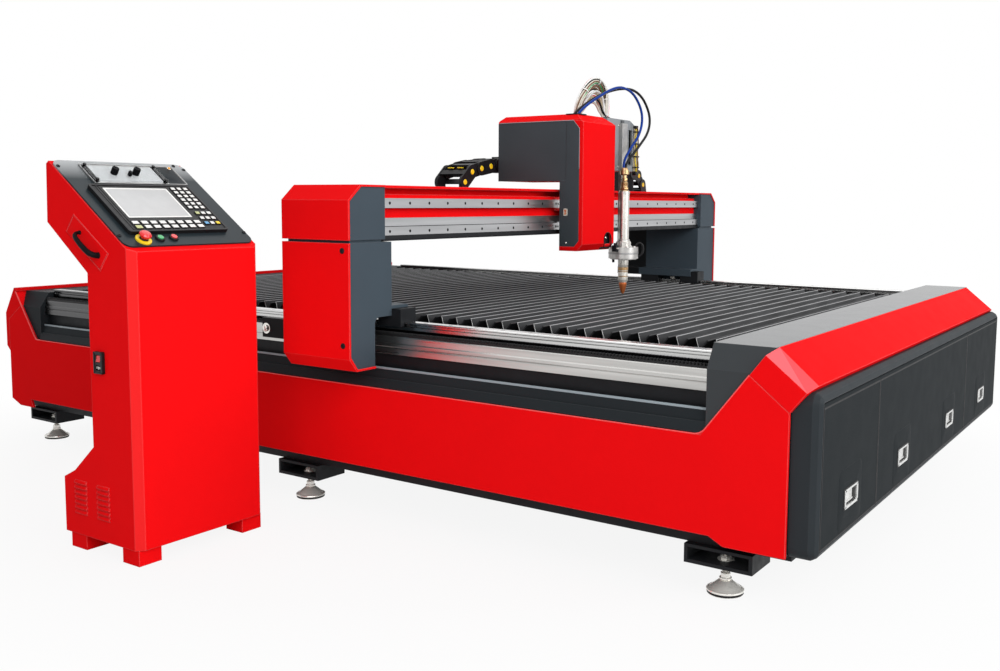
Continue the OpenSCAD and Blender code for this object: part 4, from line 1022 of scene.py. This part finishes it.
for y in (107, 393):
    bars.box(y - 7, y + 7, 371, 475, 11, 16.6, 1.2, PANEL)
    for u in (377, 469):
        bars.lathe([(0, 24), (5, 24), (6.4, 22.6), (6.4, 20.4), (5, 20.2), (5, 11)], (y, u, 0), sides=18,
                   m=PANEL)
bars.done("unit_bars", "table", black_plastic)
for name, material, line in (("unit_lamp", amber, [(0, 19), (3, 18.4), (5, 16.4), (5.6, 13.6), (5.6, 12)]),
                             ("lamp_ring", nickel, [(5.5, 12), (8, 12.2), (8, 13.8), (5.5, 14.2)])):
    Part().lathe(line, (467, 470, 0), sides=20, m=PANEL).done(name, "table", material)
for name, y, u, r, top in KNOBS:
    mark = Part().box(y - 0.9, y + 0.9, u + r * 0.2, u + r - 0.8, top - 0.2, top + 2.2, 0.4, PANEL)
    skirt = [(r, 12.6), (r + 1, 13.4), (r + 1, 15.6), (r, 16.4)]
    for side, up in circle(y, u, r, 12):
        mark.lathe([(0, 18), (0.9, 18), (0.9, top - 2), (0, top - 1.4)], (side, up, 0), sides=6, m=PANEL)
    mark.lathe(skirt, (y, u, 0), sides=28, m=PANEL)
    mark.done(f"{name}_grip", name, knob_black)

# push buttons
ring = Part().lathe([(16, 6), (16, 12), (25, 12.6), (28, 11), (28.4, 6)], (88, 33, 0), sides=40, m=PANEL)
ring.done("stop_ring", "table", yellow)
rims = Part().lathe([(11.6, 6), (11.6, 15), (15, 15), (16.4, 12.4), (16.4, 6)], (88, 33, 0), sides=28,
                    m=PANEL)
for y, u in ((156, 36), (213, 38)):
    rims.lathe([(11.5, 6), (11.5, 13), (13.2, 14), (16, 13), (17, 11), (17, 6)], (y, u, 0), sides=28, m=PANEL)
rims.done("button_rims", "table", black_plastic)
heads = Part()
for y, u in ((12, 472), (541, 474), (12, 60), (541, 60), (508, 498)):
    heads.screw((y, u, 5.8), (0, 0, 1), 7, 4, PANEL)
heads.done("panel_screws", "table", black_metal)

# console cabinet
front = CONSOLE_X
near = CONSOLE_Y0
plate = [(front - 356, 1134), (front - 308, 1195), (front - 116, 1063), (front - 164, 1002)]


def shrunk(across, up):
    x0, z0 = front - 236, 1098.5
    return [(x0 + (x - x0) * across, z0 + (z - z0) * up) for x, z in plate]


grip_plate = Part().frame(plate, shrunk(0.975, 0.95), "y", near - 3.6, near + 1, 0.8)
grip_plate.prism(shrunk(0.965, 0.93), "y", near - 3.4, near + 1, 0.8)
grip_plate.done("handle_plate", "table", red_paint)
high, low = Vector((front - 285, 0, 1140)), Vector((front - 163, 0, 1050))
high, low = high.lerp(low, 0.10), high.lerp(low, 0.93)
bow = ((0, 1), (0.01, 14), (0.07, 26), (0.2, 34), (0.5, 37), (0.8, 34), (0.93, 26), (0.99, 14), (1, 1))
route = [high.lerp(low, t) + Vector((0, near - d, 0)) for t, d in bow]
grip = Part().sweep(spline(route, 6), lambda t: 4.6 + 5.4 * math.sin(math.pi / 2 * min(1, t * 1.15)), 14)
for end, r in ((high, 7.5), (low, 11)):
    grip.lathe([(0, 6), (r * 0.7, 6), (r * 0.9, 5), (r, 2), (r, 0)], (end.x, near - 3, end.z), (0, -1, 0))
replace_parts(grip.done("handle_grip", "table", knob_black), "console_handle")
HOOD = ((0.6, 15), (-3.4, 11.5), (-5.6, 6), (-5.8, 2), (-4.4, 2), (-3.8, 6), (-1.4, 9.6), (0.6, 10))
CHEEK = ((0.6, 2), (-5.6, 2), (-5.6, 6), (-3.4, 11.5), (0.6, 15))
hoods = Part()
for x in (front - 356, front - 225):
    for z in range(132, 258, 18):
        hoods.prism([(near + y, z + up) for y, up in HOOD], "x", x - 1, x + 67, 0.5)
        for end in (x - 1, x + 67):
            hoods.prism([(near + y, z + up) for y, up in CHEEK], "x", end - 1.2, end + 1.2)
hoods.done("louvre_hoods", "table", red_paint)
inlet = Part().frame(round_box(front - 210, front - 160, 651, 727, 4),
                     round_box(front - 204, front - 166, 657, 721, 3), "y", near - 12, near + 0.5, 1)
inlet.done("inlet_rim", "table", black_plastic)
blades = Part()
for x, low in ((front - 193, 668), (front - 185, 666), (front - 177, 668)):
    blades.box(x - 1.5, x + 1.5, near - 9, near - 2, low, 676, 0.5)
blades.done("inlet_blades", "table", nickel)
door = Part().prism(round_box(near + 42, CONSOLE_Y1 - 42, 420, 960, 8), "x", front - 246, front - 242.5, 1)
for z in (500, 880):
    door.lathe([(0, -32), (6, -32), (7, -30), (7, 30), (6, 32), (0, 32)], (front - 246, near + 42, z),
               sides=14)
door.done("console_door", "table", red_paint)
lock = Part().lathe([(0, 5), (4, 5), (5, 7), (12, 7), (14, 4), (14, 0)], (front - 246, CONSOLE_Y1 - 70, 690),
                    (-1, 0, 0))
lock.done("door_lock", "table", nickel)
